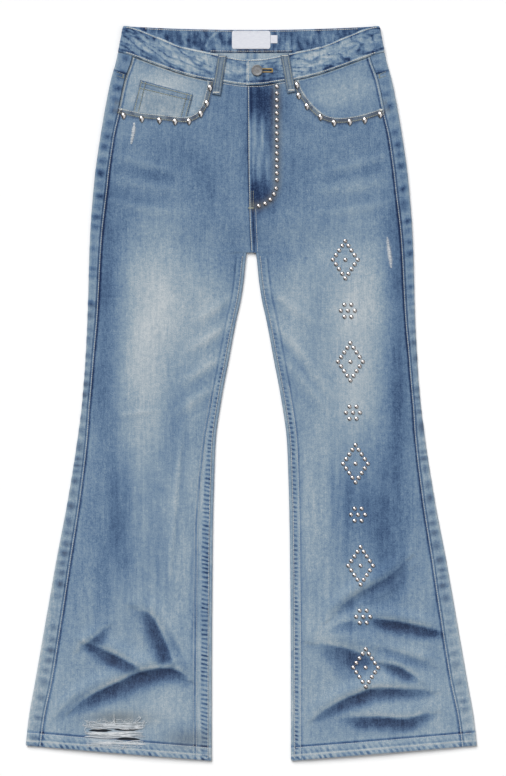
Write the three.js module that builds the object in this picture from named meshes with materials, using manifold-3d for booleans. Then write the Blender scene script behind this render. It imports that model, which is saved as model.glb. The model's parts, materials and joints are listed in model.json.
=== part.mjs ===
// Flared jeans laid flat on their back, front side up.
// Millimetres. +X is the wearer's left, +Y runs to the waist, +Z is up, and z = 0 is the surface below them.
// Along the garment a place is given by "down", its distance below the waistband's highest point,
// and across it by "across", its distance from the centre line towards its own side.
import * as THREE from "three";
import { mergeVertices } from "three/addons/utils/BufferGeometryUtils.js";
import Module from "manifold-3d";

const wasm = await Module();
wasm.setup();

const LENGTH = 1104; // waistband's highest point to the hem's lowest corner
const TOP = LENGTH / 2;
const WALL = 1.2; // denim
const GAP = 0.3; // between pieces at a seam
const LAYER = WALL + GAP; // from one stacked layer to the next
const SEAT_LIFT = 1.5; // the back pockets and loops lie below the seat
const HEM = { wall: 2.6, height: 18, step: 0.4, outer: 1081, inner: LENGTH, lift: 0.4, slant: 90 };
const BAND = { wall: 2.6, level: 6.9, upper: 9, lower: 6.1, backLevel: 2.8 };
const BAND_SEAM = { back: 41, side: 48, gap: 0.6 };
const HIP_LEVEL = 6.9; // middle of the front panels over the facings and the zip
const CROTCH = { front: 341, step: 0.5, back: 341.8, under: 346 };
const INSEAM_WRAP = 4.5; // how far the back panel comes round the inseam side
const CROWN = { rise: 1.5, from: 300, to: 420 }; // a leg's front rises between its seams
const SEAT_END = { from: 350, to: 420 }; // the lift below the seat fades out here
const BUTTON = { across: 8.5, down: 68.5, radius: 8.5, shank: 2.6, cap: 2.4, rise: 2.9 };
const BUTTONHOLE = { eye: 3.6, slot: 2.4, length: 22, deep: 10 };
const SHIELD = { from: -16, to: 34, top: 92, bottom: 282, round: 16 };
const ZIP = { from: -9, to: 17, top: 92, bottom: 268, wall: 1 };
const LABEL = { from: -29, to: 28.5, top: 8.3, bottom: 35.6, round: 3, wall: 0.6 };
const SIZE_TAB = { from: 28.9, to: 39.2, top: 15, bottom: 27, round: 0.6, wall: 0.4 };

// Half the garment's width, and how far the outseam lies in from that edge.
const OUTER = [
  { down: 0, width: 192.5, inset: 23 },
  { down: 24, width: 197.3, inset: 23.3 },
  { down: 52, width: 202.5, inset: 23 },
  { down: 82, width: 210.8, inset: 20.8 },
  { down: 127, width: 219.8, inset: 20 },
  { down: 172, width: 227.3, inset: 17.5 },
  { down: 232, width: 235.5, inset: 17.5 },
  { down: 322, width: 242.3, inset: 14.3 },
  { down: 442, width: 246, inset: 11.3 },
  { down: 502, width: 249, inset: 9 },
  { down: 562, width: 253.5, inset: 8.4 },
  { down: 622, width: 261, inset: 11.5 },
  { down: 712, width: 275.3, inset: 15 },
  { down: 802, width: 292.5, inset: 18.3 },
  { down: 892, width: 308.3, inset: 20.6 },
  { down: 982, width: 324, inset: 22 },
  { down: 1042, width: 334.5, inset: 20 },
  { down: 1104, width: 341, inset: 19 },
];
// Half the gap between the legs.
const INNER = [
  { down: 341, width: 6.6 },
  { down: 352, width: 8.3 },
  { down: 382, width: 11.3 },
  { down: 412, width: 15.8 },
  { down: 442, width: 22.5 },
  { down: 502, width: 33.8 },
  { down: 562, width: 45 },
  { down: 622, width: 53.3 },
  { down: 652, width: 54.8 },
  { down: 772, width: 57.8 },
  { down: 982, width: 59.3 },
  { down: 1104, width: 59.4 },
];
// The fly flap's edge; it crosses the centre line by this much.
const FLAP = [
  { down: 40, past: 7.5 },
  { down: 98, past: 5.1 },
  { down: 190, past: 4.4 },
  { down: 275, past: 2.9 },
  { down: 341, past: 0 },
];
// The front waistband: its top edge and the seam below it.
const FRONT_BAND = [
  { across: 0, edge: 51.6, seam: 90.4 },
  { across: 14, edge: 50.8, seam: 89.9 },
  { across: 48, edge: 44.5, seam: 84.7 },
  { across: 66, edge: 40.5, seam: 82.3 },
  { across: 105, edge: 31.8, seam: 72.8 },
  { across: 140, edge: 18, seam: 60.8 },
  { across: 176, edge: 4, seam: 47.5 },
  { across: 189, edge: 1.2, seam: 43 },
  { across: 199, edge: 0.8, seam: 40.5 },
];
const BACK_BAND_EDGE = { side: 1.5, dip: 5.5 };
// Heights of the front panels' middle at the outseam and at the inner seams.
const LEVEL = [
  { down: 0, outer: HIP_LEVEL, inner: HIP_LEVEL },
  { down: 165, outer: HIP_LEVEL, inner: HIP_LEVEL },
  { down: 290, outer: 5.2, inner: HIP_LEVEL },
  { down: 336, outer: 4.6, inner: 4.6 },
  { down: 360, outer: 4.5, inner: 4.5 },
  { down: 420, outer: 4, inner: 4 },
  { down: 1104, outer: 4, inner: 4 },
];
// Rows of the panels: the step between them, down to each place.
const ROW_STEPS = [
  { to: 170, step: 20 },
  { to: 320, step: 25 },
  { to: 336, step: 8 },
  { to: 420, step: 17 },
  { to: 812, step: 28 },
  { to: 1042, step: 12.5 },
];
// Pocket openings, from the outseam to the waistband.
const OPENING_RIGHT = [
  { across: 206, down: 122 },
  { across: 169, down: 130 },
  { across: 140, down: 133.5 },
  { across: 115, down: 136 },
  { across: 98, down: 137.5 },
  { across: 84, down: 132 },
  { across: 74.5, down: 119 },
  { across: 70, down: 103 },
  { across: 66.5, down: 90 },
  { across: 66, down: 76 },
];
const OPENING_LEFT = [
  { across: 206, down: 121 },
  { across: 177, down: 130.6 },
  { across: 156, down: 136 },
  { across: 132, down: 138.5 },
  { across: 112, down: 135 },
  { across: 97, down: 124 },
  { across: 85, down: 110 },
  { across: 77, down: 98 },
  { across: 72, down: 86 },
  { across: 70, down: 74 },
];
const OPENING_CORNER = { across: 240, down: 20 };
const FACING = { under: 18, inner: 40, lower: 165 };
const COIN_POCKET = [
  { across: 166.4, down: 82.5 },
  { across: 87.6, down: 104 },
  { across: 99.5, down: 149 },
  { across: 181, down: 140 },
];
const YOKE = { outseam: 73, fold: 67, centre: 120, reach: 210 };
const BAND_REACH = 200; // the rows follow the band's seam down to here
const BACK_POCKET = { across: 108, down: 122, width: 145, side: 118, point: 28, tilt: 0.12 };
const LOOP = { width: 13, wall: 1.4, foot: 2.2, hiddenLength: 50, sideAcross: 125, sideTop: 6, backTop: 8 };
const LOOP_RIGHT = { top: { across: 43.4, down: 45.6 }, foot: { across: 52.7, down: 104.4 } };
const LOOP_LEFT = { top: { across: 50, down: 44.4 }, foot: { across: 60, down: 101 } };

// Folds of the front: a trough along each path of [across, down] places, and a ridge on its waist side.
const FOLDS = [
  { side: -1, width: 12, trough: 2, ridge: 3, path: [[243, 936], [210, 951], [176, 965]] },
  { side: -1, width: 14, trough: 2.5, ridge: 4, path: [[164, 881], [147, 917], [126, 956]] },
  {
    side: -1, width: 14, trough: 3, ridge: 4,
    path: [[252, 1020], [224, 1000], [185, 984], [138, 968], [114, 967], [97, 979]],
  },
  { side: -1, width: 12, trough: 0, ridge: 1.6, path: [[110, 652], [119, 772], [126, 832]] },
  { side: 1, width: 14, trough: 3, ridge: 3.5, path: [[123, 886], [187, 843], [222, 817]] },
  { side: 1, width: 11, trough: 2.5, ridge: 3, path: [[197, 894], [275, 908]] },
  { side: 1, width: 12, trough: 2, ridge: 4, path: [[107, 945], [156, 960], [195, 970]] },
  { side: 1, width: 11, trough: 2, ridge: 2, path: [[202, 965], [243, 982]] },
  {
    side: 1, width: 14, trough: 3, ridge: 3.5,
    path: [[100, 1033], [156, 1011], [177, 1001], [212, 1003], [265, 1004]],
  },
];
const FOLD_EDGE = 26; // folds fade out over this distance from a seam
const RIDGE_OFFSET = 1.3; // from trough to ridge, in fold widths
const LOWEST_FRONT = 2.3; // the bottom of a trough almost lies on the back panel

// Studs: round ones down the fly and the left leg, drops along the pocket openings.
const STUD = { radius: 3.1, height: 2, sink: 0.6, sides: 6 };
const DROP = { width: 3.25, length: 5.2, height: 2.8 };
const DROPS_RIGHT = [
  { across: 62, down: 93.8 },
  { across: 66.8, down: 116.9 },
  { across: 75.9, down: 132.9 },
  { across: 93.6, down: 144.2 },
  { across: 114.5, down: 144.6 },
  { across: 138, down: 142.6 },
  { across: 164.3, down: 140.4 },
  { across: 191.6, down: 135.6 },
];
const DROPS_LEFT = [
  { across: 68.4, down: 90 },
  { across: 71, down: 105.6 },
  { across: 83.4, down: 121.6 },
  { across: 103.7, down: 137.7 },
  { across: 124, down: 146.3 },
  { across: 147.6, down: 145.2 },
  { across: 170.1, down: 142.5 },
  { across: 193.2, down: 134 },
];
const FLY_STUDS = { across: 38.4, first: 92.5, pitch: 10, count: 15 };
const FLY_TURN = { across: 6, down: 236, deep: 36, angles: [15, 30, 46, 63, 81] };
const MOTIFS = { top: 352, pitch: 153, count: 5, across: 141, slant: 0.05, half: 18.6, tall: 28, perSide: 4 };
const ROSETTE = { radius: 10.5, petals: 6 };

// The worn gash above the right hem: slots between bundles of thread.
const RIP_SLOTS = [
  { from: 245, to: 208, down: 1058.5, height: 4 },
  { from: 206, to: 168, down: 1057, height: 4.2 },
  { from: 204, to: 166, down: 1071.5, height: 4.2 },
];

// A smooth curve through a table's column that never overshoots its rows.
function column(rows, key, along = "down") {
  const x = rows.map((row) => row[along]);
  const y = rows.map((row) => row[key]);
  const slope = x.slice(1).map((next, i) => (y[i + 1] - y[i]) / (next - x[i]));
  const tangent = x.map((_, i) => {
    if (i === 0) return slope[0];
    if (i === x.length - 1) return slope[i - 1];
    const before = slope[i - 1];
    const after = slope[i];
    return before * after <= 0 ? 0 : (2 * before * after) / (before + after);
  });
  return (at) => {
    if (at <= x[0]) return y[0];
    if (at >= x[x.length - 1]) return y[x.length - 1];
    const i = x.findIndex((value, k) => k > 0 && at <= value) - 1;
    const span = x[i + 1] - x[i];
    const t = (at - x[i]) / span;
    const u = 1 - t;
    const bend = span * t * u * (tangent[i] * u - tangent[i + 1] * t);
    return y[i] * u * u * (1 + 2 * t) + y[i + 1] * t * t * (3 - 2 * t) + bend;
  };
}
const mix = (a, b, t) => a + (b - a) * t;
const ease = (from, to, at) => THREE.MathUtils.smoothstep(at, from, to);

const outerWidth = column(OUTER, "width");
const outseamInset = column(OUTER, "inset");
const innerWidth = column(INNER, "width");
const flapPast = column(FLAP, "past");
const outerLevel = column(LEVEL, "outer");
const innerLevel = column(LEVEL, "inner");
const bandEdge = column(FRONT_BAND, "edge", "across");
const bandSeam = column(FRONT_BAND, "seam", "across");
const outseam = (down) => outerWidth(down) - outseamInset(down);
const place = (side, across, down, z) => new THREE.Vector3(side * across, TOP - down, z);

// The front panel's inner edge: the fly or the rise seam, and then the inseam.
function frontInner(side, down, onLeg = down > CROTCH.front) {
  if (onLeg) return innerWidth(down) + INSEAM_WRAP + GAP / 2;
  return GAP / 2 - side * flapPast(down);
}

function foldHeight(side, across, down) {
  let height = 0;
  for (const fold of FOLDS.filter((row) => row.side === side)) {
    let nearest = { distance: Infinity };
    const last = fold.path.length - 1;
    for (let i = 0; i < last; i += 1) {
      const [ax, ay] = fold.path[i];
      const [bx, by] = fold.path[i + 1];
      const square = (bx - ax) ** 2 + (by - ay) ** 2;
      const along = ((across - ax) * (bx - ax) + (down - ay) * (by - ay)) / square;
      const run = THREE.MathUtils.clamp(along, 0, 1);
      const offX = across - mix(ax, bx, run);
      const offY = down - mix(ay, by, run);
      const distance = Math.hypot(offX, offY);
      if (distance < nearest.distance) {
        const above = Math.sign((by - ay) * offX - (bx - ax) * offY) * Math.sign(bx - ax);
        nearest = { distance, above, run: (i + run) / last };
      }
    }
    const off = nearest.distance * nearest.above;
    const trough = Math.exp(-((off / fold.width) ** 2));
    const ridge = Math.exp(-(((off - RIDGE_OFFSET * fold.width) / fold.width) ** 2));
    const taper = Math.sin(Math.PI * THREE.MathUtils.clamp(nearest.run * 0.9 + 0.05, 0, 1)) ** 0.5;
    height += (fold.ridge * ridge - fold.trough * trough) * taper;
  }
  return height;
}

// Height of the middle of a front panel.
function frontLevel(side, across, down) {
  const inner = frontInner(side, down);
  const outer = outseam(down) - GAP / 2;
  const share = THREE.MathUtils.clamp((across - inner) / (outer - inner), 0, 1);
  const base = mix(innerLevel(down), outerLevel(down), ease(0, 1, share));
  const crown = CROWN.rise * ease(CROWN.from, CROWN.to, down) * 4 * share * (1 - share);
  const fromSeam = Math.min(across - inner, outer - across);
  const fold = foldHeight(side, across, down) * ease(0, FOLD_EDGE, fromSeam);
  return Math.max(base + crown + fold, Math.min(base, LOWEST_FRONT));
}

const seatLift = (down) => SEAT_LIFT * (1 - ease(SEAT_END.from, SEAT_END.to, down));
const hemDown = (across, down) => {
  const outer = outerWidth(down);
  return mix(HEM.outer, HEM.inner, (outer - across) / (outer - innerWidth(down)));
};

// Nominal rows of a leg between two places; the last three make the turned hem.
function rowsBetween(from, to) {
  const rows = [from];
  let at = from;
  for (const range of ROW_STEPS) {
    while (at + range.step * 1.3 < Math.min(range.to, to)) {
      at += range.step;
      if (at < range.to) rows.push(at);
    }
    if (at < range.to && range.to < to) {
      at = range.to;
      rows.push(at);
    }
  }
  rows.push(to);
  return rows;
}
const hemRows = [HEM.outer - HEM.height - HEM.step, HEM.outer - HEM.height, HEM.outer];
const isHem = (nominal) => nominal > HEM.outer - HEM.height - HEM.step / 2;
const wallAt = (nominal) => (isHem(nominal) ? HEM.wall : WALL);

// The true place of a nominal row: the lowest rows slant with the hem.
function slanted(nominal, across, down) {
  const share = ease(HEM.outer - HEM.slant, HEM.outer - HEM.height - HEM.step, nominal);
  return nominal + share * (hemDown(across, down) - HEM.outer);
}

// A closed body from a grid of point pairs, each an outer and an inner point of the wall.
function wallBody(grid) {
  const rows = grid.length;
  const across = grid[0].length;
  const ring = across * 2;
  const positions = [];
  for (const row of grid) {
    for (const [outer] of row) positions.push(outer.x, outer.y, outer.z);
    for (const [, inner] of [...row].reverse()) positions.push(inner.x, inner.y, inner.z);
  }
  const index = [];
  const quad = (a, b, c, d) => index.push(a, b, c, a, c, d);
  for (let i = 0; i < rows - 1; i += 1) {
    for (let j = 0; j < ring; j += 1) {
      const next = (j + 1) % ring;
      quad(i * ring + j, i * ring + next, (i + 1) * ring + next, (i + 1) * ring + j);
    }
  }
  const end = (rows - 1) * ring;
  for (let j = 0; j < across - 1; j += 1) {
    quad(j + 1, j, ring - 1 - j, ring - 2 - j);
    quad(end + j, end + j + 1, end + ring - 2 - j, end + ring - 1 - j);
  }
  const geometry = new THREE.BufferGeometry();
  geometry.setAttribute("position", new THREE.Float32BufferAttribute(positions, 3));
  geometry.setIndex(index);
  return facingOut(geometry);
}

function facingOut(geometry) {
  const p = geometry.attributes.position;
  const index = geometry.index.array;
  const corner = [new THREE.Vector3(), new THREE.Vector3(), new THREE.Vector3()];
  let volume = 0;
  for (let t = 0; t < index.length; t += 3) {
    corner.forEach((point, k) => point.fromBufferAttribute(p, index[t + k]));
    volume += corner[0].dot(corner[1].cross(corner[2]));
  }
  if (volume < 0) {
    for (let t = 0; t < index.length; t += 3) {
      [index[t + 1], index[t + 2]] = [index[t + 2], index[t + 1]];
    }
  }
  return geometry;
}

function toSolid(geometry) {
  const bare = geometry.clone();
  bare.deleteAttribute("normal");
  bare.deleteAttribute("uv");
  const merged = mergeVertices(bare, 1e-4);
  return new wasm.Manifold(
    new wasm.Mesh({
      numProp: 3,
      vertProperties: Float32Array.from(merged.attributes.position.array),
      triVerts: Uint32Array.from(merged.index.array),
    }),
  );
}

function toGeometry(solid) {
  const mesh = solid.getMesh();
  const geometry = new THREE.BufferGeometry();
  geometry.setAttribute("position", new THREE.Float32BufferAttribute(mesh.vertProperties, 3));
  geometry.setIndex(Array.from(mesh.triVerts));
  return geometry;
}

// An upright prism over an outline of places on one side.
function prism(side, outline, from = -5, to = 30) {
  const corners = outline.map(({ across, down }) => new THREE.Vector2(side * across, TOP - down));
  const shape = new THREE.Shape(corners);
  const geometry = new THREE.ExtrudeGeometry(shape, { depth: to - from, bevelEnabled: false });
  geometry.translate(0, 0, from);
  return toSolid(geometry);
}

// The pocket opening's outline, moved "out" towards the panel; it closes round the outer upper corner.
function openingOutline(rows, out) {
  const curve = new THREE.CatmullRomCurve3(rows.map((row) => new THREE.Vector3(row.across, row.down, 0)));
  const edge = curve.getPoints(16).map((point, i) => {
    const along = curve.getTangent(i / 16);
    return { across: point.x + along.y * out, down: point.y - along.x * out };
  });
  return [...edge, { across: edge[16].across, down: OPENING_CORNER.down }, OPENING_CORNER];
}

const DENIM = { color: 0x6f8fb5, roughness: 0.9, metalness: 0 };
const PALE_DENIM = { color: 0x8aa0b8, roughness: 0.9, metalness: 0 };
const DARK_DENIM = { color: 0x4a6285, roughness: 0.9, metalness: 0 };
const SATIN = { color: 0xf2f3f7, roughness: 0.6, metalness: 0 };
const BRASS = { color: 0xb09a66, roughness: 0.4, metalness: 1 };
const STEEL = { color: 0x9a9894, roughness: 0.4, metalness: 1 };

const jeans = new THREE.Group();
function add(name, geometry, finish) {
  const mesh = new THREE.Mesh(geometry, new THREE.MeshStandardMaterial(finish));
  mesh.name = name;
  jeans.add(mesh);
}
const sideName = (side) => (side > 0 ? "left" : "right");

// A front panel's wall, before its pocket opening is cut.
function frontWall(side) {
  const columns = 14;
  const firstRow = BAND_SEAM.side;
  const rows = [
    ...rowsBetween(firstRow, CROTCH.front),
    ...rowsBetween(CROTCH.front + CROTCH.step, hemRows[0]),
    ...hemRows.slice(1),
  ];
  const grid = rows.map((nominal) => {
    const line = [];
    for (let j = 0; j <= columns; j += 1) {
      let down = nominal;
      let across = 0;
      for (let pass = 0; pass < 4; pass += 1) {
        const inner = frontInner(side, down, nominal > CROTCH.front);
        across = mix(outseam(down) - GAP / 2, inner, j / columns);
        const bandShare = 1 - ease(firstRow, BAND_REACH, nominal);
        const bandDrop = bandSeam(Math.abs(across)) + BAND_SEAM.gap - firstRow;
        down = slanted(nominal, across, down) + bandShare * bandDrop;
      }
      const wall = wallAt(nominal);
      const middle = frontLevel(side, across, down) + (isHem(nominal) ? HEM.lift : 0);
      line.push([place(side, across, down, middle + wall / 2), place(side, across, down, middle - wall / 2)]);
    }
    return line;
  });
  return wallBody(grid);
}

// The back panel's section: round the outer edge from the outseam, flat below, and up to the inseam.
const BACK_ZONES = { strip: 2, fold: 4, flat: 3, inseamFold: 4 };
function backSection(down, nominal, folded) {
  const wall = wallAt(nominal);
  const hem = isHem(nominal);
  const low = seatLift(down) + wall / 2;
  const outerTop = outerLevel(down) + (hem ? HEM.lift : 0);
  const innerTop = innerLevel(down) + (hem ? HEM.lift : 0);
  const points = [];
  const push = (across, z, normalAcross, normalZ, zone) => {
    points.push({ across, z, normalAcross, normalZ, zone, wall });
  };
  const outerRadius = (outerTop - low) / 2;
  const outerCentre = outerWidth(down) - wall / 2 - outerRadius;
  for (let i = 0; i < BACK_ZONES.strip; i += 1) {
    push(mix(outseam(down) + GAP / 2, outerCentre, i / BACK_ZONES.strip), outerTop, 0, 1, "strip");
  }
  for (let i = 0; i <= BACK_ZONES.fold; i += 1) {
    const angle = Math.PI * (0.5 - i / BACK_ZONES.fold);
    const [c, s] = [Math.cos(angle), Math.sin(angle)];
    push(outerCentre + outerRadius * c, low + outerRadius + outerRadius * s, c, s, "fold");
  }
  const innerRadius = (innerTop - low) / 2;
  const innerCentre = innerWidth(down) + wall / 2 + innerRadius;
  const onSeat = down < CROTCH.under - 1;
  const flatEnd = onSeat && !folded ? GAP / 2 : innerCentre + (folded ? 0 : GAP);
  for (let i = 1; i <= BACK_ZONES.flat; i += 1) {
    push(mix(outerCentre, flatEnd, i / BACK_ZONES.flat), low, 0, -1, "flat");
  }
  if (!folded) return points;
  for (let i = 1; i <= BACK_ZONES.inseamFold; i += 1) {
    const angle = Math.PI * (1.5 - i / BACK_ZONES.inseamFold);
    const [c, s] = [Math.cos(angle), Math.sin(angle)];
    push(innerCentre + innerRadius * c, low + innerRadius + innerRadius * s, c, s, "inseam");
  }
  push(innerWidth(down) + INSEAM_WRAP - GAP / 2, innerTop, 0, 1, "inseam");
  return points;
}

function backGrid(side, nominalRows, folded, trueDown) {
  return nominalRows.map((nominal) => {
    const count = backSection(400, nominal, folded).length;
    const line = [];
    for (let j = 0; j < count; j += 1) {
      let down = nominal;
      let point;
      for (let pass = 0; pass < 4; pass += 1) {
        point = backSection(down, nominal, folded)[j];
        down = trueDown(nominal, point, down);
      }
      const across = (sign) => point.across + sign * point.normalAcross * point.wall * 0.5;
      const z = (sign) => point.z + sign * point.normalZ * point.wall * 0.5;
      line.push([place(side, across(1), down, z(1)), place(side, across(-1), down, z(-1))]);
    }
    return line;
  });
}

// The seam between yoke and back panel, round the side and down to the centre.
function yokeSeam(point) {
  const fold = outerWidth(YOKE.fold);
  if (point.zone === "strip") {
    return mix(YOKE.outseam, YOKE.fold, (point.across - outseam(YOKE.outseam)) / outseamInset(YOKE.outseam));
  }
  if (point.zone === "fold" && point.normalZ > 0) {
    return mix(YOKE.fold + 1, YOKE.fold, point.normalAcross);
  }
  return mix(YOKE.centre, YOKE.fold, Math.min(1, point.across / fold));
}

function bandSeamRound(point) {
  if (point.zone === "strip") return bandSeam(point.across);
  return BAND_SEAM.back;
}

function backPanel(side) {
  const firstRow = YOKE.outseam;
  const upperRows = [...rowsBetween(firstRow, CROTCH.back), CROTCH.under];
  const upper = backGrid(side, upperRows, false, (nominal, point) => {
    const share = 1 - ease(firstRow, YOKE.reach, nominal);
    return nominal + share * (yokeSeam(point) + GAP - firstRow);
  });
  const lowerRows = [
    CROTCH.back,
    ...rowsBetween(CROTCH.under, hemRows[0]).filter((row, i, all) => i % 2 === 0 || i === all.length - 1),
    ...hemRows.slice(1),
  ];
  const lower = backGrid(side, lowerRows, true, (nominal, point, down) => {
    return slanted(nominal, point.across, down);
  });
  return toGeometry(toSolid(wallBody(upper)).add(toSolid(wallBody(lower))));
}

function yoke(side) {
  const rows = [0, 0.5, 1];
  return wallBody(backGrid(side, rows, false, (nominal, point) => {
    return mix(bandSeamRound(point) + BAND_SEAM.gap, yokeSeam(point), nominal);
  }));
}

// The waistband: a strip from its right end, under the left end, round the back and on top again.
function waistband() {
  const frontStops = [0.98, 0.9, 0.8, 0.68, 0.56, 0.45, 0.36, 0.28];
  const endStops = [0.23, 0.175, 0.1, 0.03];
  const backStops = [0.75, 0.5, 0.25, 0];
  const foldSteps = 5;
  const radius = (BAND.level - BAND.backLevel) / 2;
  const edges = { edge: outerWidth(1), seam: outerWidth(BAND_SEAM.back) };
  const reach = (key) => edges[key] - BAND.wall / 2 - radius;
  const stations = [];
  const frontStation = (side, share, level) => {
    const point = (key) => {
      const across = share * reach(key);
      const down = key === "edge" ? bandEdge(Math.abs(across)) : bandSeam(Math.abs(across));
      return { x: side * across, down, z: level, nx: 0, nz: 1 };
    };
    stations.push({ edge: point("edge"), seam: point("seam") });
  };
  const foldStation = (side, angle) => {
    const point = (key) => {
      const across = reach(key) + radius * Math.cos(angle);
      const z = BAND.backLevel + radius + radius * Math.sin(angle);
      const down = key === "edge" ? BACK_BAND_EDGE.side : BAND_SEAM.back;
      return { x: side * across, down, z, nx: side * Math.cos(angle), nz: Math.sin(angle) };
    };
    stations.push({ edge: point("edge"), seam: point("seam") });
  };
  const backStation = (side, share) => {
    const point = (key) => {
      const dip = BACK_BAND_EDGE.side + BACK_BAND_EDGE.dip * (1 - share ** 2);
      const down = key === "edge" ? dip : BAND_SEAM.back;
      return { x: side * share * reach(key), down, z: BAND.backLevel, nx: 0, nz: -1 };
    };
    stations.push({ edge: point("edge"), seam: point("seam") });
  };
  const folds = Array.from({ length: foldSteps + 1 }, (_, i) => Math.PI * (0.5 - i / foldSteps));
  for (const share of [0.15, 0.08, 0.01]) frontStation(1, share, BAND.lower);
  for (const share of [0.07, 0.13]) frontStation(-1, share, mix(BAND.lower, BAND.level, share / 0.13));
  const rising = [...frontStops, ...endStops.slice(0, 2)].sort((a, b) => a - b);
  for (const share of rising) frontStation(-1, share, BAND.level);
  for (const angle of folds) foldStation(-1, angle);
  for (const share of backStops) backStation(-1, share);
  for (const share of backStops.slice(0, -1).reverse()) backStation(1, share);
  for (const angle of [...folds].reverse()) foldStation(1, angle);
  for (const share of frontStops) frontStation(1, share, BAND.level);
  frontStation(1, endStops[0], BAND.level);
  for (const share of endStops.slice(1)) frontStation(1, share, BAND.upper);
  frontStation(-1, 0.034, BAND.upper);
  const grid = stations.map(({ edge, seam }) =>
    [edge, seam].map((p) => {
      const face = (off) => new THREE.Vector3(p.x + off * p.nx, TOP - p.down, p.z + off * p.nz);
      return [face(BAND.wall / 2), face(-BAND.wall / 2)];
    }),
  );
  return toGeometry(toSolid(wallBody(grid)).subtract(buttonhole()));
}

// A keyhole through the waistband's upper end only.
function buttonhole() {
  const { eye, slot, length, deep } = BUTTONHOLE;
  const middle = BAND.lower + BAND.wall / 2 + GAP / 2 + deep / 2;
  const round = new THREE.CylinderGeometry(eye, eye, deep, 14);
  round.rotateX(Math.PI / 2);
  const cut = new THREE.BoxGeometry(length, slot, deep);
  cut.translate(length / 2, 0, 0);
  for (const geometry of [round, cut]) geometry.translate(BUTTON.across, TOP - BUTTON.down, middle);
  return toSolid(round).add(toSolid(cut));
}

function facingWall(side, drop, outline) {
  const columns = 8;
  const rows = 6;
  const grid = [];
  for (let i = 0; i <= rows; i += 1) {
    const line = [];
    for (let j = 0; j <= columns; j += 1) {
      let down = mix(60, FACING.lower, i / rows);
      let across = 0;
      for (let pass = 0; pass < 4; pass += 1) {
        across = mix(outseam(down) - GAP / 2, FACING.inner, j / columns);
        down = mix(bandSeam(across) + BAND_SEAM.gap, FACING.lower, i / rows);
      }
      const middle = frontLevel(side, across, down) - drop;
      line.push([place(side, across, down, middle + WALL / 2), place(side, across, down, middle - WALL / 2)]);
    }
    grid.push(line);
  }
  return toGeometry(toSolid(wallBody(grid)).intersect(prism(side, outline)));
}

// A stud's low cone, standing on a panel's outer face.
function cone(panel, x, down, halfWidth, halfLength, height) {
  const above = new THREE.Vector3(x, TOP - down, 50);
  const [hit] = new THREE.Raycaster(above, new THREE.Vector3(0, 0, -1)).intersectObject(panel);
  const geometry = new THREE.ConeGeometry(1, 1, STUD.sides);
  geometry.rotateX(Math.PI / 2);
  geometry.translate(0, 0, 0.5);
  geometry.scale(halfWidth, halfLength, height + STUD.sink);
  geometry.translate(x, TOP - down, hit.point.z - STUD.sink);
  return toSolid(geometry);
}

const pocketDrops = (panel, side, rows) =>
  rows.map(({ across, down }) => cone(panel, side * across, down, DROP.width, DROP.length, DROP.height));

function flyStuds(panel) {
  const { across, first, pitch, count } = FLY_STUDS;
  const round = (x, down) => cone(panel, x, down, STUD.radius, STUD.radius, STUD.height);
  const straight = Array.from({ length: count }, (_, i) => round(across, first + pitch * i));
  const turned = FLY_TURN.angles.map((degrees) => {
    const angle = THREE.MathUtils.degToRad(degrees);
    const x = mix(FLY_TURN.across, across, Math.cos(angle));
    return round(x, FLY_TURN.down + FLY_TURN.deep * Math.sin(angle));
  });
  return [...straight, ...turned];
}

// The left leg's pattern: diamonds with a centre stud, and rosettes between them.
const DIAMOND = [[0, -1], [1, 0], [0, 1], [-1, 0], [0, -1]];
function legStuds(panel) {
  const studs = [];
  const round = (x, down) => studs.push(cone(panel, x, down, STUD.radius, STUD.radius, STUD.height));
  const centreAt = (down) => MOTIFS.across + MOTIFS.slant * (down - MOTIFS.top);
  for (let i = 0; i < MOTIFS.count; i += 1) {
    const down = MOTIFS.top + MOTIFS.pitch * i;
    round(centreAt(down), down);
    for (let k = 0; k < 4 * MOTIFS.perSide; k += 1) {
      const corner = Math.floor(k / MOTIFS.perSide);
      const run = (k % MOTIFS.perSide) / MOTIFS.perSide;
      const [from, to] = [DIAMOND[corner], DIAMOND[corner + 1]];
      const x = centreAt(down) + mix(from[0], to[0], run) * MOTIFS.half;
      round(x, down + mix(from[1], to[1], run) * MOTIFS.tall);
    }
  }
  for (let i = 0.5; i < MOTIFS.count - 1; i += 1) {
    const down = MOTIFS.top + MOTIFS.pitch * i;
    round(centreAt(down), down);
    for (let k = 0; k < ROSETTE.petals; k += 1) {
      const angle = (2 * Math.PI * k) / ROSETTE.petals;
      round(centreAt(down) + ROSETTE.radius * Math.cos(angle), down + ROSETTE.radius * Math.sin(angle));
    }
  }
  return studs;
}

function ripSlots() {
  return RIP_SLOTS.map(({ from, to, down, height }) => {
    const middle = (from + to) / 2;
    const outline = [
      { across: from, down },
      { across: middle, down: down + height / 2 },
      { across: to, down },
      { across: middle, down: down - height / 2 },
    ];
    return prism(-1, outline, 2, 20);
  });
}

// A flat plate over an outline of [x, down] corners, from one height to another.
function plate(corners, from, to) {
  const shape = new THREE.Shape(corners.map(([x, down]) => new THREE.Vector2(x, TOP - down)));
  const geometry = new THREE.ExtrudeGeometry(shape, { depth: to - from, bevelEnabled: false });
  geometry.translate(0, 0, from);
  return toGeometry(toSolid(geometry));
}

// A plate with round corners, such as a label.
function roundedPlate({ from, to, top, bottom, round, wall }, low) {
  const corners = [
    [to - round, top + round, -90],
    [to - round, bottom - round, 0],
    [from + round, bottom - round, 90],
    [from + round, top + round, 180],
  ];
  const outline = corners.flatMap(([x, down, start]) =>
    [0, 30, 60, 90].map((step) => {
      const angle = THREE.MathUtils.degToRad(start + step);
      return [x + round * Math.cos(angle), down + round * Math.sin(angle)];
    }),
  );
  return plate(outline, low, low + wall);
}

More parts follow.
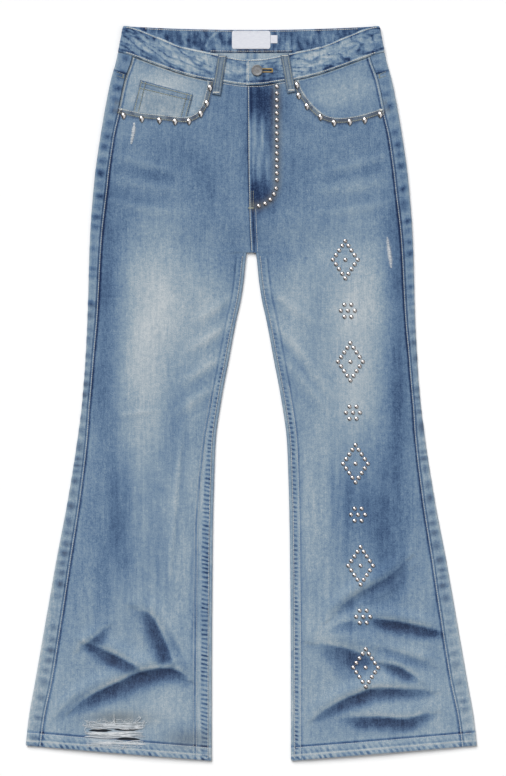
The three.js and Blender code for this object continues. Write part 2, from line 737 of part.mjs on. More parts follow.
function backPocket(side) {
  const { across, down, width, side: tall, point, tilt } = BACK_POCKET;
  const half = width / 2;
  const corners = [[-half, 0], [half, 0], [half * 0.93, tall], [0, tall + point], [-half * 0.93, tall]];
  const turned = corners.map(([x, y]) => [
    side * (across + x * Math.cos(tilt) + y * Math.sin(tilt)),
    down - x * Math.sin(tilt) + y * Math.cos(tilt),
  ]);
  return plate(turned, 0, WALL);
}

const FOOT_START = 0.82; // share of a loop's length where its sewn foot starts
// A belt loop on the front: over the band's edge, down across the band, and its foot on the panel.
function frontLoop(side, { top, foot }) {
  const stops = [0, 0.06, 0.12, 0.5, 0.7, 0.76, FOOT_START, 1];
  const lean = Math.atan2(foot.across - top.across, foot.down - top.down);
  const grid = stops.map((share) => {
    const across = mix(top.across, foot.across, share);
    const down = mix(top.down, foot.down, share);
    const onBand = BAND.level + BAND.wall / 2 + GAP;
    const onPanel = Math.max(frontLevel(side, across, down) + WALL / 2 + GAP, onBand - 0.5);
    const low = mix(onBand, onPanel, ease(FOOT_START, 1, share));
    const thick = share < 0.1 || share >= FOOT_START ? LOOP.foot : LOOP.wall;
    return [-1, 1].map((edge) => {
      const x = across + (edge * LOOP.width * Math.cos(lean)) / 2;
      const y = down - (edge * LOOP.width * Math.sin(lean)) / 2;
      return [place(side, x, y, low + thick), place(side, x, y, low)];
    });
  });
  return wallBody(grid);
}

function hiddenLoop(x, top) {
  const half = LOOP.width / 2;
  const bottom = top + LOOP.hiddenLength;
  return plate([[x - half, top], [x + half, top], [x + half, bottom], [x - half, bottom]], 0, WALL);
}

// The button's shank stands on the band's right end, through the buttonhole.
function button() {
  const base = BAND.lower + BAND.wall / 2 + GAP;
  const rim = base + BUTTON.rise;
  const profile = [
    [0, base],
    [BUTTON.shank, base],
    [BUTTON.shank, rim],
    [BUTTON.radius - 0.6, rim],
    [BUTTON.radius, rim + 0.6],
    [BUTTON.radius, rim + BUTTON.cap - 0.6],
    [BUTTON.radius - 0.7, rim + BUTTON.cap],
    [0, rim + BUTTON.cap],
  ];
  const geometry = new THREE.LatheGeometry(profile.map(([r, z]) => new THREE.Vector2(r, z)), 20);
  geometry.rotateX(Math.PI / 2);
  geometry.translate(BUTTON.across, TOP - BUTTON.down, 0);
  return toGeometry(toSolid(geometry));
}

for (const side of [-1, 1]) {
  const opening = side < 0 ? OPENING_RIGHT : OPENING_LEFT;
  const wall = frontWall(side);
  const panel = new THREE.Mesh(wall, new THREE.MeshBasicMaterial({ side: THREE.DoubleSide }));
  const studs = pocketDrops(panel, side, side < 0 ? DROPS_RIGHT : DROPS_LEFT);
  if (side > 0) studs.push(...flyStuds(panel), ...legStuds(panel));
  let front = toSolid(wall).subtract(prism(side, openingOutline(opening, 0)));
  for (const stud of studs) front = front.add(stud);
  if (side < 0) for (const slot of ripSlots()) front = front.subtract(slot);
  add(`front_${sideName(side)}`, toGeometry(front), DENIM);
  add(`back_${sideName(side)}`, backPanel(side), DENIM);
  add(`yoke_${sideName(side)}`, yoke(side), DENIM);
  const drop = side < 0 ? 2 * LAYER : LAYER;
  const facing = facingWall(side, drop, openingOutline(opening, FACING.under));
  add(`pocket_facing_${sideName(side)}`, facing, PALE_DENIM);
}
add("coin_pocket", facingWall(-1, LAYER, COIN_POCKET), PALE_DENIM);
add("waistband", waistband(), DARK_DENIM);
const shieldMiddle = HIP_LEVEL - 2 * LAYER;
add("fly_shield", roundedPlate({ ...SHIELD, wall: WALL }, shieldMiddle - WALL / 2), DARK_DENIM);
add("fly_zip", roundedPlate({ ...ZIP, round: 1 }, HIP_LEVEL - LAYER - ZIP.wall / 2), BRASS);
for (const side of [-1, 1]) {
  add(`back_pocket_${sideName(side)}`, backPocket(side), DENIM);
  add(`belt_loop_front_${sideName(side)}`, frontLoop(side, side < 0 ? LOOP_RIGHT : LOOP_LEFT), DARK_DENIM);
  add(`belt_loop_side_${sideName(side)}`, hiddenLoop(side * LOOP.sideAcross, LOOP.sideTop), DARK_DENIM);
}
add("belt_loop_back", hiddenLoop(0, LOOP.backTop), DARK_DENIM);
add("shank_button", button(), STEEL);
const bandInside = BAND.backLevel + BAND.wall / 2 + GAP;
add("waist_label", roundedPlate(LABEL, bandInside), SATIN);
add("size_tab", roundedPlate(SIZE_TAB, bandInside), SATIN);

export default jeans;
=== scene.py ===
# Flared jeans laid flat, front side up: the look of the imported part.
# Sizes are in millimetres, as in the part's source, and every mesh is made in metres.
# "down" is the distance below the waistband's highest point, "across" the distance from the centre
# line to the piece's own side, and side is 1 for the wearer's left, which is +X, and -1 for the right.
import json
import math

import bpy
import numpy as np
from mathutils import Vector
from mathutils.bvhtree import BVHTree
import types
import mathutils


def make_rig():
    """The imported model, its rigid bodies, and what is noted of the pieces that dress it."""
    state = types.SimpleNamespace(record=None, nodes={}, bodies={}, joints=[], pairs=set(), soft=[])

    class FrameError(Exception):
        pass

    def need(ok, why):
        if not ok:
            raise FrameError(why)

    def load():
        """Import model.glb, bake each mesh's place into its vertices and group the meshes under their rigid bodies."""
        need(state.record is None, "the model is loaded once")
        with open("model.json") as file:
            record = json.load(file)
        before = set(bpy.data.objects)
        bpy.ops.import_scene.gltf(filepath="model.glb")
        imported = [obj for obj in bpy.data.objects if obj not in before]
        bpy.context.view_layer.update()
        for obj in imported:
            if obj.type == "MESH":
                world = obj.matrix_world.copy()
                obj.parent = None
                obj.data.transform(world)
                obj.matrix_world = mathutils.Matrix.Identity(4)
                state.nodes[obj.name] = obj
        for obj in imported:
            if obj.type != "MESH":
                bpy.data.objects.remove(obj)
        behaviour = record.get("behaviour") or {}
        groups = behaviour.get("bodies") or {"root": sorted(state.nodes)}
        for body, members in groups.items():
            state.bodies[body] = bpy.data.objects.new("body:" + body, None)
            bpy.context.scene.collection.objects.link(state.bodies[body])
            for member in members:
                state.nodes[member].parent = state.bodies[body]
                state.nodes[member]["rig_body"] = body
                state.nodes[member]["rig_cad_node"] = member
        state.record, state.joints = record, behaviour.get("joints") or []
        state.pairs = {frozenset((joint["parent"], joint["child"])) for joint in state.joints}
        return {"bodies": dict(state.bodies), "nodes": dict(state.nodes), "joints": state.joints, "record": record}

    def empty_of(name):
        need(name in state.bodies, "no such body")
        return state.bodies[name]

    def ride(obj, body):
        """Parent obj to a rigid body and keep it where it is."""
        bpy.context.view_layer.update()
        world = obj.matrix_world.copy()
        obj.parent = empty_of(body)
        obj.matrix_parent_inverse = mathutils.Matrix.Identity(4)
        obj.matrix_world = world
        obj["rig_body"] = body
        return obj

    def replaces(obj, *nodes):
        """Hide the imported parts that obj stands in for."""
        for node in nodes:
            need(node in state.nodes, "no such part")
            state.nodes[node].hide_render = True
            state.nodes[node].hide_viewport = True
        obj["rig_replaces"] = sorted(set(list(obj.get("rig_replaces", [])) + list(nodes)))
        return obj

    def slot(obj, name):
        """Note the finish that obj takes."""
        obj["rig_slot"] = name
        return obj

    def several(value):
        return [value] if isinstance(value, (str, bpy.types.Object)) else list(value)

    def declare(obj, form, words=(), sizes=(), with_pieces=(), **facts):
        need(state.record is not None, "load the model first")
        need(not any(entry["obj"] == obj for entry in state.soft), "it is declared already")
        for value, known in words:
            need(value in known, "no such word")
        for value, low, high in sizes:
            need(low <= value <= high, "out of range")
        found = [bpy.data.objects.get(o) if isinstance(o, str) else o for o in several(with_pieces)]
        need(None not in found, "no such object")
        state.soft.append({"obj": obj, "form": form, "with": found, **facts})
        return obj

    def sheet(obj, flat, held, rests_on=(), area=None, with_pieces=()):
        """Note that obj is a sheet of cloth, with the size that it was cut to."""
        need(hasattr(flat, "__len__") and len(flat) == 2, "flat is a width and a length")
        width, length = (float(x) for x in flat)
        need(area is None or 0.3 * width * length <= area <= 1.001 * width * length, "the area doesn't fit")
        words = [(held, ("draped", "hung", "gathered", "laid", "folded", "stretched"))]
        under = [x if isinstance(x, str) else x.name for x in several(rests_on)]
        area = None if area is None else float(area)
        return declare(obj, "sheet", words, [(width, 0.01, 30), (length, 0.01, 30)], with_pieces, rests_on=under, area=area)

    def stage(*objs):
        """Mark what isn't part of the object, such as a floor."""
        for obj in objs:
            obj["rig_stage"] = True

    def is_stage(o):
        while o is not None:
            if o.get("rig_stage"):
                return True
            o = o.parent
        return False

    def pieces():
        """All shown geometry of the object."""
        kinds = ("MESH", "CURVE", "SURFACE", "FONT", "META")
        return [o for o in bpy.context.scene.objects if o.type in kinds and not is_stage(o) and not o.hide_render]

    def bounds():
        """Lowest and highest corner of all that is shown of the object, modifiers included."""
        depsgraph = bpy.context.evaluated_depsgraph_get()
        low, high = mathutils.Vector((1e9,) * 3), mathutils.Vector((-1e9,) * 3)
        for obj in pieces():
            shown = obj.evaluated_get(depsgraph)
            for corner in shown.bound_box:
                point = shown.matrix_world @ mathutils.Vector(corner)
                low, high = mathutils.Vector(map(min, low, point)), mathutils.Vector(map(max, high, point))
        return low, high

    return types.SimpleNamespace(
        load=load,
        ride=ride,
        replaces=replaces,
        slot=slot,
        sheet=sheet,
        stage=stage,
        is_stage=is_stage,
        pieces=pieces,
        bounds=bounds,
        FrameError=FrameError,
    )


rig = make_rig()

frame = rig.load()
cad_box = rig.bounds()

MM = 0.001
LENGTH = 1104
TOP = LENGTH / 2
WALL = 1.2
GAP = 0.3
LAYER = WALL + GAP
SEAT_LIFT = 1.5
HEM = {"wall": 2.6, "height": 18, "step": 0.4, "outer": 1081, "inner": LENGTH, "lift": 0.4, "slant": 90}
BAND = {"wall": 2.6, "level": 6.9, "upper": 9, "lower": 6.1, "back": 2.8}
BAND_SEAM = {"back": 41, "side": 48, "gap": 0.6}
HIP_LEVEL = 6.9
CROTCH = 341
CROTCH_STEP = 0.5
INSEAM_WRAP = 4.5
CROWN = {"rise": 1.5, "from": 300, "to": 420}
SEAT_END = (350, 420)
BUTTON = {"across": 8.5, "down": 68.5, "radius": 8.5, "shank": 2.6, "cap": 2.4, "rise": 2.9}
BUTTONHOLE = {"eye": 3.6, "slot": 2.4, "length": 22, "deep": 10}
SHIELD = {"from": -16, "to": 34, "top": 92, "bottom": 282, "round": 16}
ZIP = {"from": -9, "to": 17, "top": 92, "bottom": 268, "wall": 1}
LABEL = {"from": -29, "to": 28.5, "top": 8.3, "bottom": 35.6, "round": 3, "wall": 0.6}
SIZE_TAB = {"from": 28.9, "to": 39.2, "top": 15, "bottom": 27, "round": 0.6, "wall": 0.4}

# Rows of (down, half width, how far the outseam lies in from the edge).
OUTER = [
    (0, 192.5, 23), (24, 197.3, 23.3), (52, 202.5, 23), (82, 210.8, 20.8), (127, 219.8, 20),
    (172, 227.3, 17.5), (232, 235.5, 17.5), (322, 242.3, 14.3), (442, 246, 11.3), (502, 249, 9),
    (562, 253.5, 8.4), (622, 261, 11.5), (712, 275.3, 15), (802, 292.5, 18.3), (892, 308.3, 20.6),
    (982, 324, 22), (1042, 334.5, 20), (1104, 341, 19),
]
# Rows of (down, half the gap between the legs).
INNER = [
    (341, 6.6), (352, 8.3), (382, 11.3), (412, 15.8), (442, 22.5), (502, 33.8), (562, 45),
    (622, 53.3), (652, 54.8), (772, 57.8), (982, 59.3), (1104, 59.4),
]
# Rows of (down, how far the fly flap's edge passes the centre line).
FLAP = [(40, 7.5), (98, 5.1), (190, 4.4), (275, 2.9), (341, 0)]
# Rows of (across, the front waistband's edge, the seam below it), both as down.
FRONT_BAND = [
    (0, 51.6, 90.4), (14, 50.8, 89.9), (48, 44.5, 84.7), (66, 40.5, 82.3), (105, 31.8, 72.8),
    (140, 18, 60.8), (176, 4, 47.5), (189, 1.2, 43), (199, 0.8, 40.5),
]
BACK_BAND_EDGE = {"side": 1.5, "dip": 5.5}
# Rows of (down, the front's middle height at the outseam, and at the inner seam).
LEVEL = [
    (0, HIP_LEVEL, HIP_LEVEL), (165, HIP_LEVEL, HIP_LEVEL), (290, 5.2, HIP_LEVEL), (336, 4.6, 4.6),
    (360, 4.5, 4.5), (420, 4, 4), (1104, 4, 4),
]
# Pocket openings from the outseam to the waistband, as (across, down).
OPENING_RIGHT = [
    (206, 122), (169, 130), (140, 133.5), (115, 136), (98, 137.5), (84, 132), (74.5, 119), (70, 103),
    (66.5, 90), (66, 76),
]
OPENING_LEFT = [
    (206, 121), (177, 130.6), (156, 136), (132, 138.5), (112, 135), (97, 124), (85, 110), (77, 98),
    (72, 86), (70, 74),
]
OPENING_CORNER = (240, 20)
FACING = {"under": 18, "inner": 40, "lower": 165}
COIN_POCKET = [(166.4, 82.5), (87.6, 104), (99.5, 149), (181, 140)]
YOKE = {"outseam": 73, "fold": 67, "centre": 120, "reach": 210}
BAND_REACH = 200
BACK_POCKET = {"across": 108, "down": 122, "width": 145, "side": 118, "point": 28, "tilt": 0.12}
LOOP = {
    "width": 13, "wall": 1.4, "foot": 2.2, "hidden": 50, "side_across": 125, "side_top": 6, "back_top": 8,
}
LOOP_RIGHT = ((43.4, 45.6), (52.7, 104.4))
LOOP_LEFT = ((50, 44.4), (60, 101))
FOLD_EDGE = 26
LOWEST_FRONT = 2.3

# The sharp creases: side, how dark their painted shade is, the width of the soft painted shade on the hem side, the
# ridge's height on the waist side, the trough's depth, and the crease's path as (across, down). A painted highlight
# runs above each.
CREASES = [
    (-1, 0.44, 15, 1.6, 1.2, [(219, 908), (235, 921), (254, 934)]),
    (-1, 0.7, 19, 2.8, 2.2, [(244, 930), (213, 943), (193, 953), (170, 966)]),
    (-1, 0.56, 23, 2.8, 2.4, [(165, 880), (149, 890), (135, 917), (126, 940), (117, 961)]),
    (-1, 0.2, 12, 1.2, 0.8, [(129, 898), (112, 930), (96, 966)]),
    (
        -1, 0.7, 23, 3.4, 2.6,
        [(262, 1023), (244, 1010), (222, 998), (200, 988), (178, 977), (156, 970), (134, 966), (112, 970), (98, 979)],
    ),
    (-1, 0.16, 14, 1, 0.6, [(300, 1046), (272, 1018), (246, 998)]),
    (1, 0.26, 18, 3.4, 2.2, [(231, 806), (211, 826), (180, 844), (154, 859), (122, 887)]),
    (1, 0.1, 18, 1.6, 1, [(238, 820), (207, 851), (176, 866)]),
    (1, 0.64, 18, 2.6, 2.2, [(182, 892), (214, 896), (246, 902), (282, 911)]),
    (1, 0.25, 14, 1, 0.6, [(170, 900), (142, 897), (122, 906)]),
    (1, 0.5, 34, 3, 2, [(104, 930), (136, 936), (163, 945), (182, 953)]),
    (1, 0.62, 15, 2, 1.8, [(200, 959), (222, 965), (246, 980)]),
    (1, 0.28, 14, 1.4, 0.8, [(196, 936), (236, 948), (270, 960)]),
    (
        1, 0.74, 19, 2.8, 2.4,
        [(100, 1037), (136, 1015), (160, 1005), (180, 998), (207, 997), (262, 1000)],
    ),
    (1, 0.64, 19, 1.6, 1.4, [(142, 1040), (189, 1040), (233, 1042), (266, 1034)]),
]
CREASE_EDGE = 2.6  # the sharp side's width
# Soft ridges whose pale tops are partly wear and partly painted highlight, with painted shade on their hem side: side
# (0 for both), height, half width, paleness and path.
RIDGES = [
    (-1, 0.9, 7, 0.16, [(26, 444), (60, 466), (90, 485)]),
    (-1, 0.9, 7, 0.16, [(39, 495), (70, 514), (102, 535)]),
    (-1, 0.8, 6.5, 0.14, [(50, 541), (82, 560), (108, 580)]),
    (-1, 0.8, 6, 0.1, [(20, 402), (50, 422), (78, 440)]),
    (1, 0.9, 7, 0.16, [(30, 444), (72, 488), (118, 556)]),
    (1, 0.9, 7, 0.14, [(46, 496), (78, 535), (112, 575)]),
    (1, 0.8, 6.5, 0.11, [(20, 388), (55, 418), (90, 443)]),
    (-1, 1, 3.4, 0.3, [(150, 964), (132, 964), (119, 957)]),
    (-1, 1.2, 3.5, 0.14, [(103, 596), (112, 690), (123, 822)]),
    (-1, 0.6, 3.5, 0.09, [(198, 586), (166, 581), (136, 578)]),
    (-1, 0.5, 4, 0.08, [(194, 348), (183, 376), (169, 402)]),
    (0, 0.5, 6, 0.1, [(206, 194), (160, 208), (107, 221)]),
    (0, 0.4, 7, 0.08, [(200, 232), (150, 244), (100, 248)]),
    (0, 0.4, 6, 0.08, [(214, 262), (160, 276), (96, 282)]),
]
# Darker whiskers across the hips: side, half width, strength and path.
WHISKERS = [
    (0, 9, 0.07, [(190, 216), (150, 224), (110, 232)]),
    (0, 8, 0.05, [(172, 262), (140, 268), (106, 274)]),
    (0, 10, 0.05, [(224, 246), (190, 262), (158, 268)]),
    (0, 11, 0.06, [(92, 190), (70, 225), (56, 262)]),
]
# The wash, from 0 for dark indigo to 1 for the palest: side (0 for both), the spot's centre across and
# down, its two radii and how much it adds. Some dark spots deepen the creases' painted shade, and the right front's
# spot beside the fly flap is the flap's painted shadow.
WASH_AND_SHADE_SPOTS = [
    (-1, 142, 405, 52, 95, 0.38), (-1, 160, 520, 42, 105, 0.24), (-1, 114, 600, 12, 75, -0.12),
    (-1, 84, 680, 20, 120, 0.1), (-1, 198, 735, 24, 110, -0.2), (-1, 224, 855, 14, 60, -0.12),
    (-1, 7, 170, 9, 75, -0.14), (-1, 116, 775, 22, 90, 0.13), (-1, 262, 905, 40, 60, -0.06),
    (-1, 150, 1035, 60, 26, 0.06), (-1, 152, 615, 36, 50, 0.1), (-1, 62, 412, 24, 50, 0.1), (-1, 230, 1010, 40, 50, -0.04), (-1, 186, 1006, 26, 12, -0.08), (-1, 92, 1068, 26, 14, -0.14),
    (1, 158, 425, 46, 120, 0.4), (1, 152, 572, 36, 88, 0.22), (1, 96, 372, 40, 70, 0.08), (1, 146, 868, 18, 9, -0.2), (1, 264, 912, 20, 8, -0.3),
    (1, 60, 435, 26, 66, 0.12), (1, 222, 600, 20, 110, -0.1), (1, 167, 1051, 17, 8, -0.2), (-1, 130, 944, 11, 20, -0.34), (1, 200, 745, 42, 115, -0.28),
    (1, 146, 705, 30, 80, -0.2), (1, 94, 720, 24, 140, 0.17), (1, 110, 630, 30, 60, 0.06), (1, 130, 250, 70, 40, 0.05), (1, 262, 820, 24, 90, 0.04),
    (1, 150, 1060, 60, 16, -0.1), (1, 200, 905, 40, 30, -0.08), (1, 100, 905, 30, 50, 0.08),
    (0, 72, 425, 36, 110, 0.12), (0, 220, 425, 18, 190, -0.24), (0, 214, 600, 18, 110, -0.08),
    (0, 150, 300, 60, 26, 0.04), (0, 180, 165, 34, 14, 0.05), (0, 60, 150, 26, 60, -0.04),
]
# Rows of (down, paleness along the leg).
WASH_ALONG = [
    (40, 0.51), (140, 0.515), (250, 0.505), (320, 0.52), (420, 0.57), (560, 0.62), (680, 0.65),
    (820, 0.66), (900, 0.7), (1104, 0.78),
]
# The fly flap's dark and pale stretches, as (across, down, radius, radius, amount); the dark stretch round the studs'
# J-turn and the narrow one beside the stud row are partly painted shadow of the studs.
FLY_WASH_AND_SHADE = [
    (10, 114, 27, 28, -0.68), (7, 256, 22, 24, -0.66), (16, 185, 13, 42, 0.14), (2, 314, 7, 36, -0.34),
    (32, 170, 6, 90, -0.2),
]

# Worn places: side, half width, strength and path.
ABRASIONS = [
    (-1, 2.1, 0.75, [(175.5, 147), (177, 162), (180, 178)]),
    (1, 3, 1, [(204, 319), (207, 342), (210, 364)]),
]
RIP = {"from": 250, "to": 164, "top": 1048, "bottom": 1082}
RIP_SLOTS = [(245, 208, 1058.5, 4), (206, 168, 1057, 4.2), (204, 166, 1071.5, 4.2)]

STUD = {"radius": 3.45, "height": 2.3}
DROP = {"width": 4.3, "length": 6.2, "height": 3}
DROPS_RIGHT = [
    (62, 93.8), (66.8, 116.9), (75.9, 132.9), (93.6, 144.2), (114.5, 144.6), (138, 142.6),
    (164.3, 140.4), (191.6, 135.6),
]
DROPS_LEFT = [
    (68.4, 90), (71, 105.6), (83.4, 121.6), (103.7, 137.7), (124, 146.3), (147.6, 145.2),
    (170.1, 142.5), (193.2, 134),
]
FLY_STUDS = {"across": 38.4, "first": 92.5, "pitch": 10, "count": 15}
FLY_TURN = {"across": 6, "down": 236, "deep": 36, "angles": (15, 30, 46, 63, 81)}
MOTIFS = {
    "top": 352, "pitch": 153, "count": 5, "across": 141, "slant": 0.05, "half": 18.6, "tall": 28, "side": 4,
}
ROSETTE = {"radius": 10.5, "petals": 6}

CELL = 2.6  # size of the cloth's mesh
PUCKER_PITCH = 17
LADDER_PITCH = 6.4
HEM_PITCH = 7.5


def mix(a, b, t):
    return a + (b - a) * t


def smooth(low, high, x):
    t = np.clip((np.asarray(x, float) - low) / (high - low), 0, 1)
    return t * t * (3 - 2 * t)


def bell(x, width):
    return np.exp(-((np.asarray(x, float) / width) ** 2))


def curve(rows, key=1):
    """A smooth curve through a table's column that never overshoots its rows."""
    x = np.array([row[0] for row in rows], float)
    y = np.array([row[key] for row in rows], float)
    span = np.diff(x)
    slope = np.diff(y) / span
    product = slope[:-1] * slope[1:]
    total = np.where(slope[:-1] + slope[1:] == 0, 1, slope[:-1] + slope[1:])
    tangent = np.concatenate([slope[:1], np.where(product > 0, 2 * product / total, 0), slope[-1:]])

    def at(value):
        value = np.clip(value, x[0], x[-1])
        i = np.clip(np.searchsorted(x, value, side="right") - 1, 0, len(span) - 1)
        t = (value - x[i]) / span[i]
        u = 1 - t
        bend = span[i] * t * u * (tangent[i] * u - tangent[i + 1] * t)
        return y[i] * u * u * (1 + 2 * t) + y[i + 1] * t * t * (3 - 2 * t) + bend

    return at


outer_width, outseam_inset = curve(OUTER), curve(OUTER, 2)
inner_width = curve(INNER)
flap_past = curve(FLAP)
band_edge, band_seam = curve(FRONT_BAND), curve(FRONT_BAND, 2)
outer_level, inner_level = curve(LEVEL), curve(LEVEL, 2)
wash_along = curve(WASH_ALONG)
LATTICE_SIZE = 128
LATTICE = np.random.default_rng(7).random((LATTICE_SIZE, LATTICE_SIZE))


def outseam(down):
    return outer_width(down) - outseam_inset(down)


def noise(u, v, seed=0):
    """Smooth noise from 0 to 1; u and v count its cells."""
    u = np.asarray(u, float) + 17.3 * seed
    v = np.asarray(v, float) + 31.7 * seed
    iu, iv = np.floor(u).astype(int), np.floor(v).astype(int)
    fu, fv = u - iu, v - iv
    fu, fv = fu * fu * (3 - 2 * fu), fv * fv * (3 - 2 * fv)

    def corner(a, b):
        return LATTICE[(iu + a) % LATTICE_SIZE, (iv + b) % LATTICE_SIZE]

    return mix(mix(corner(0, 0), corner(1, 0), fu), mix(corner(0, 1), corner(1, 1), fu), fv)


def rounded_path(points, steps=6):
    """The points of a smooth curve through the given ones."""
    p = np.array(points, float)
    p = np.vstack([2 * p[0] - p[1], p, 2 * p[-1] - p[-2]])
    t = (np.arange(steps) / steps)[:, None]
    parts = []
    for a, b, c, d in zip(p, p[1:], p[2:], p[3:]):
        parts.append(0.5 * (2 * b + (c - a) * t + (2 * a - 5 * b + 4 * c - d) * t**2
                            + (3 * b - a - 3 * c + d) * t**3))
    return np.vstack(parts + [p[-2:-1]])


def beside(path, across, down):
    """Distance from a path, positive on its waist side, and the run along it from 0 to 1."""
    across, down = np.asarray(across, float), np.asarray(down, float)
    best = np.full(across.shape, np.inf)
    off, run = np.zeros(across.shape), np.zeros(across.shape)
    points = rounded_path(path)
    for i, ((ax, ay), (bx, by)) in enumerate(zip(points, points[1:])):
        square = (bx - ax) ** 2 + (by - ay) ** 2
        t = np.clip(((across - ax) * (bx - ax) + (down - ay) * (by - ay)) / square, 0, 1)
        dx, dy = across - mix(ax, bx, t), down - mix(ay, by, t)
        distance = np.hypot(dx, dy)
        above = np.sign(((by - ay) * dx - (bx - ax) * dy) * np.sign(bx - ax))
        near = distance < best
        best = np.where(near, distance, best)
        off = np.where(near, distance * above, off)
        run = np.where(near, (i + t) / (len(points) - 1), run)
    return off, run


def taper(run):
    return np.sin(np.pi * np.clip(run * 0.94 + 0.03, 0, 1)) ** 0.45


def on_side(row, side):
    return row[0] in (0, side)


def front_inner(side, down, on_leg):
    leg = inner_width(down) + INSEAM_WRAP + GAP / 2
    return np.where(on_leg, leg, GAP / 2 - side * flap_past(down))


def crease_height(side, across, down):
    height = np.zeros(np.shape(across))
    for row in CREASES:
        if on_side(row, side):
            _, _, width, ridge, trough, path = row
            off, run = beside(path, across, down)
            up = ridge * bell(off - 0.55 * width, 0.55 * width)
            low = trough * bell(off + 0.35 * width, 0.5 * width)
            height += (up - low) * taper(run)
    for row in RIDGES:
        if on_side(row, side):
            _, rise, width, _, path = row
            off, run = beside(path, across, down)
            height += rise * bell(off, width) * taper(run)
    return height


def hem_down(across, down):
    outer = outer_width(down)
    return mix(HEM["outer"], HEM["inner"], (outer - across) / (outer - inner_width(down)))


def hem_bars(side, across, above_hem):
    """Where the slanted puckers of a turned hem lie, from 0 to 1, stronger near its edge."""
    uneven = 0.5 + 0.5 * noise(across / 17, above_hem / 40, 9 + side)
    low = 1 - smooth(5, 7, above_hem)
    high = smooth(8, 10, above_hem) * (1 - smooth(15, 18, above_hem))
    return uneven * (low + 0.4 * high) * (above_hem > -4)


def ladder_width(side, down):
    """Width of the felled inseam; on the right leg it grows towards the hem."""
    return mix(5.5, 11.5, smooth(560, 760, down)) if side < 0 else 6.8 + 0 * down


def ladder_row(side, down):
    """How far from the inseam the felled seam's inner row of stitches runs."""
    return ladder_width(side, down) + mix(3, 7, smooth(560, 760, down)) if side < 0 else 10.2 + 0 * down


def inseam_ladder(side, from_seam, down):
    """Where the ladder of puckers in the felled inseam lies, from 0 to 1."""
    band = smooth(-0.5, 1.5, from_seam) * (1 - smooth(-1.5, 1, from_seam - ladder_width(side, down)))
    return band * (0.65 + 0.35 * noise(down / 15, 0 * down, 11 + side)) * mix(0.35, 1, smooth(420, 640, down)) * (down > CROTCH + 4)


def outseam_blobs(side, from_seam, down):
    """Soft puckers beside the outseam, from 0 to 1."""
    phase = down / PUCKER_PITCH + 1.6 * noise(down / 37, 0 * down, 13 + side)
    off = (phase - np.floor(phase) - 0.5) * PUCKER_PITCH
    middle = 6 + 4 * noise(down / 23, 0 * down, 17 + side)
    uneven = 0.1 + 1.2 * noise(down / 16, 0 * down, 14 + side)
    return bell(off + 0.2 * from_seam - 1, 5) * bell(from_seam - middle, 7) * uneven


def front_relief(side, across, down, on_leg):
    """Puckers and gentle waves, only upwards, so the cloth stays clear of what lies below it."""
    from_inner = across - front_inner(side, down, on_leg)
    from_outer = outseam(down) - across
    above_hem = hem_down(across, down) - down
    relief = 0.35 * inseam_ladder(side, from_inner, down) + 0.5 * outseam_blobs(side, -from_outer, down)
    relief += 0.3 * hem_bars(side, across, above_hem) * noise(across / 5, above_hem / 9, 15)
    wave = noise(across / 46, down / 70, 21 + side) * 0.9 + noise(across / 17, down / 30, 23 + side) * 0.25
    return relief + wave * smooth(4, 30, np.minimum(from_inner, from_outer)) * smooth(250, 420, down)


def front_middle(side, across, down, on_leg=None):
    """Height of the middle of a front panel."""
    on_leg = down > CROTCH if on_leg is None else on_leg
    inner = front_inner(side, down, on_leg)
    outer = outseam(down) - GAP / 2
    share = np.clip((across - inner) / (outer - inner), 0, 1)
    base = mix(inner_level(down), outer_level(down), smooth(0, 1, share))
    crown = CROWN["rise"] * smooth(CROWN["from"], CROWN["to"], down) * 4 * share * (1 - share)
    from_seam = np.minimum(across - inner, outer - across)
    fold = crease_height(side, across, down) * smooth(0, FOLD_EDGE, from_seam)
    return np.maximum(base + crown + fold, np.minimum(base, LOWEST_FRONT))


def spread(low, high, step):
    return np.linspace(low, high, max(2, int(round(abs(high - low) / step)) + 1))


def slanted(nominal, across, down):
    share = smooth(HEM["outer"] - HEM["slant"], HEM["outer"] - HEM["height"] - HEM["step"], nominal)
    return nominal + share * (hem_down(across, down) - HEM["outer"])


HEM_TOP = HEM["outer"] - HEM["height"]


def hem_share(nominal):
    return smooth(HEM_TOP - 2.2, HEM_TOP, nominal)


def wall_at(nominal):
    """The cloth's thickness on a nominal row; the turned hem is thicker and round at its edge."""
    thick = mix(WALL, HEM["wall"], hem_share(nominal))
    return thick * mix(1, 0.55, smooth(HEM["outer"] - 1.6, HEM["outer"], nominal))


def shell(points, normals, wall, quads):
    """A closed wall round a middle surface, as vertices and faces that look outwards."""
    n = len(points)
    half = normals * (np.broadcast_to(wall, n) / 2)[:, None]
    edges = np.concatenate([quads[:, [i, (i + 1) % 4]] for i in range(4)])
    key = np.sort(edges, axis=1)
    _, first, count = np.unique(key[:, 0] * n + key[:, 1], return_index=True, return_counts=True)
    rim = edges[first[count == 1]]
    rim = np.column_stack([rim[:, 1], rim[:, 0], rim[:, 0] + n, rim[:, 1] + n])
    faces = np.vstack([quads, quads[:, ::-1] + n, rim])
    vertices = np.vstack([points + half, points - half])
    a, b, c = (vertices[faces[:, i]] for i in range(3))
    if np.einsum("ij,ij->", a, np.cross(b, c)) < 0:
        faces = faces[:, ::-1]
    return vertices, faces


def grid_quads(rows, columns, start=0):
    index = start + np.arange(rows * columns).reshape(rows, columns)
    corners = (index[:-1, :-1], index[:-1, 1:], index[1:, 1:], index[1:, :-1])
    return np.stack(corners, axis=-1).reshape(-1, 4)


def new_mesh(name, vertices, faces):
    mesh = bpy.data.meshes.new(name)
    mesh.from_pydata((np.asarray(vertices) * MM).tolist(), [], [list(face) for face in faces])
    mesh.validate()
    piece = bpy.data.objects.new(name, mesh)
    bpy.context.scene.collection.objects.link(piece)
    return piece


def soften(piece, angle=48):
    for polygon in piece.data.polygons:
        polygon.use_smooth = True
    piece.data.set_sharp_from_angle(angle=math.radians(angle))


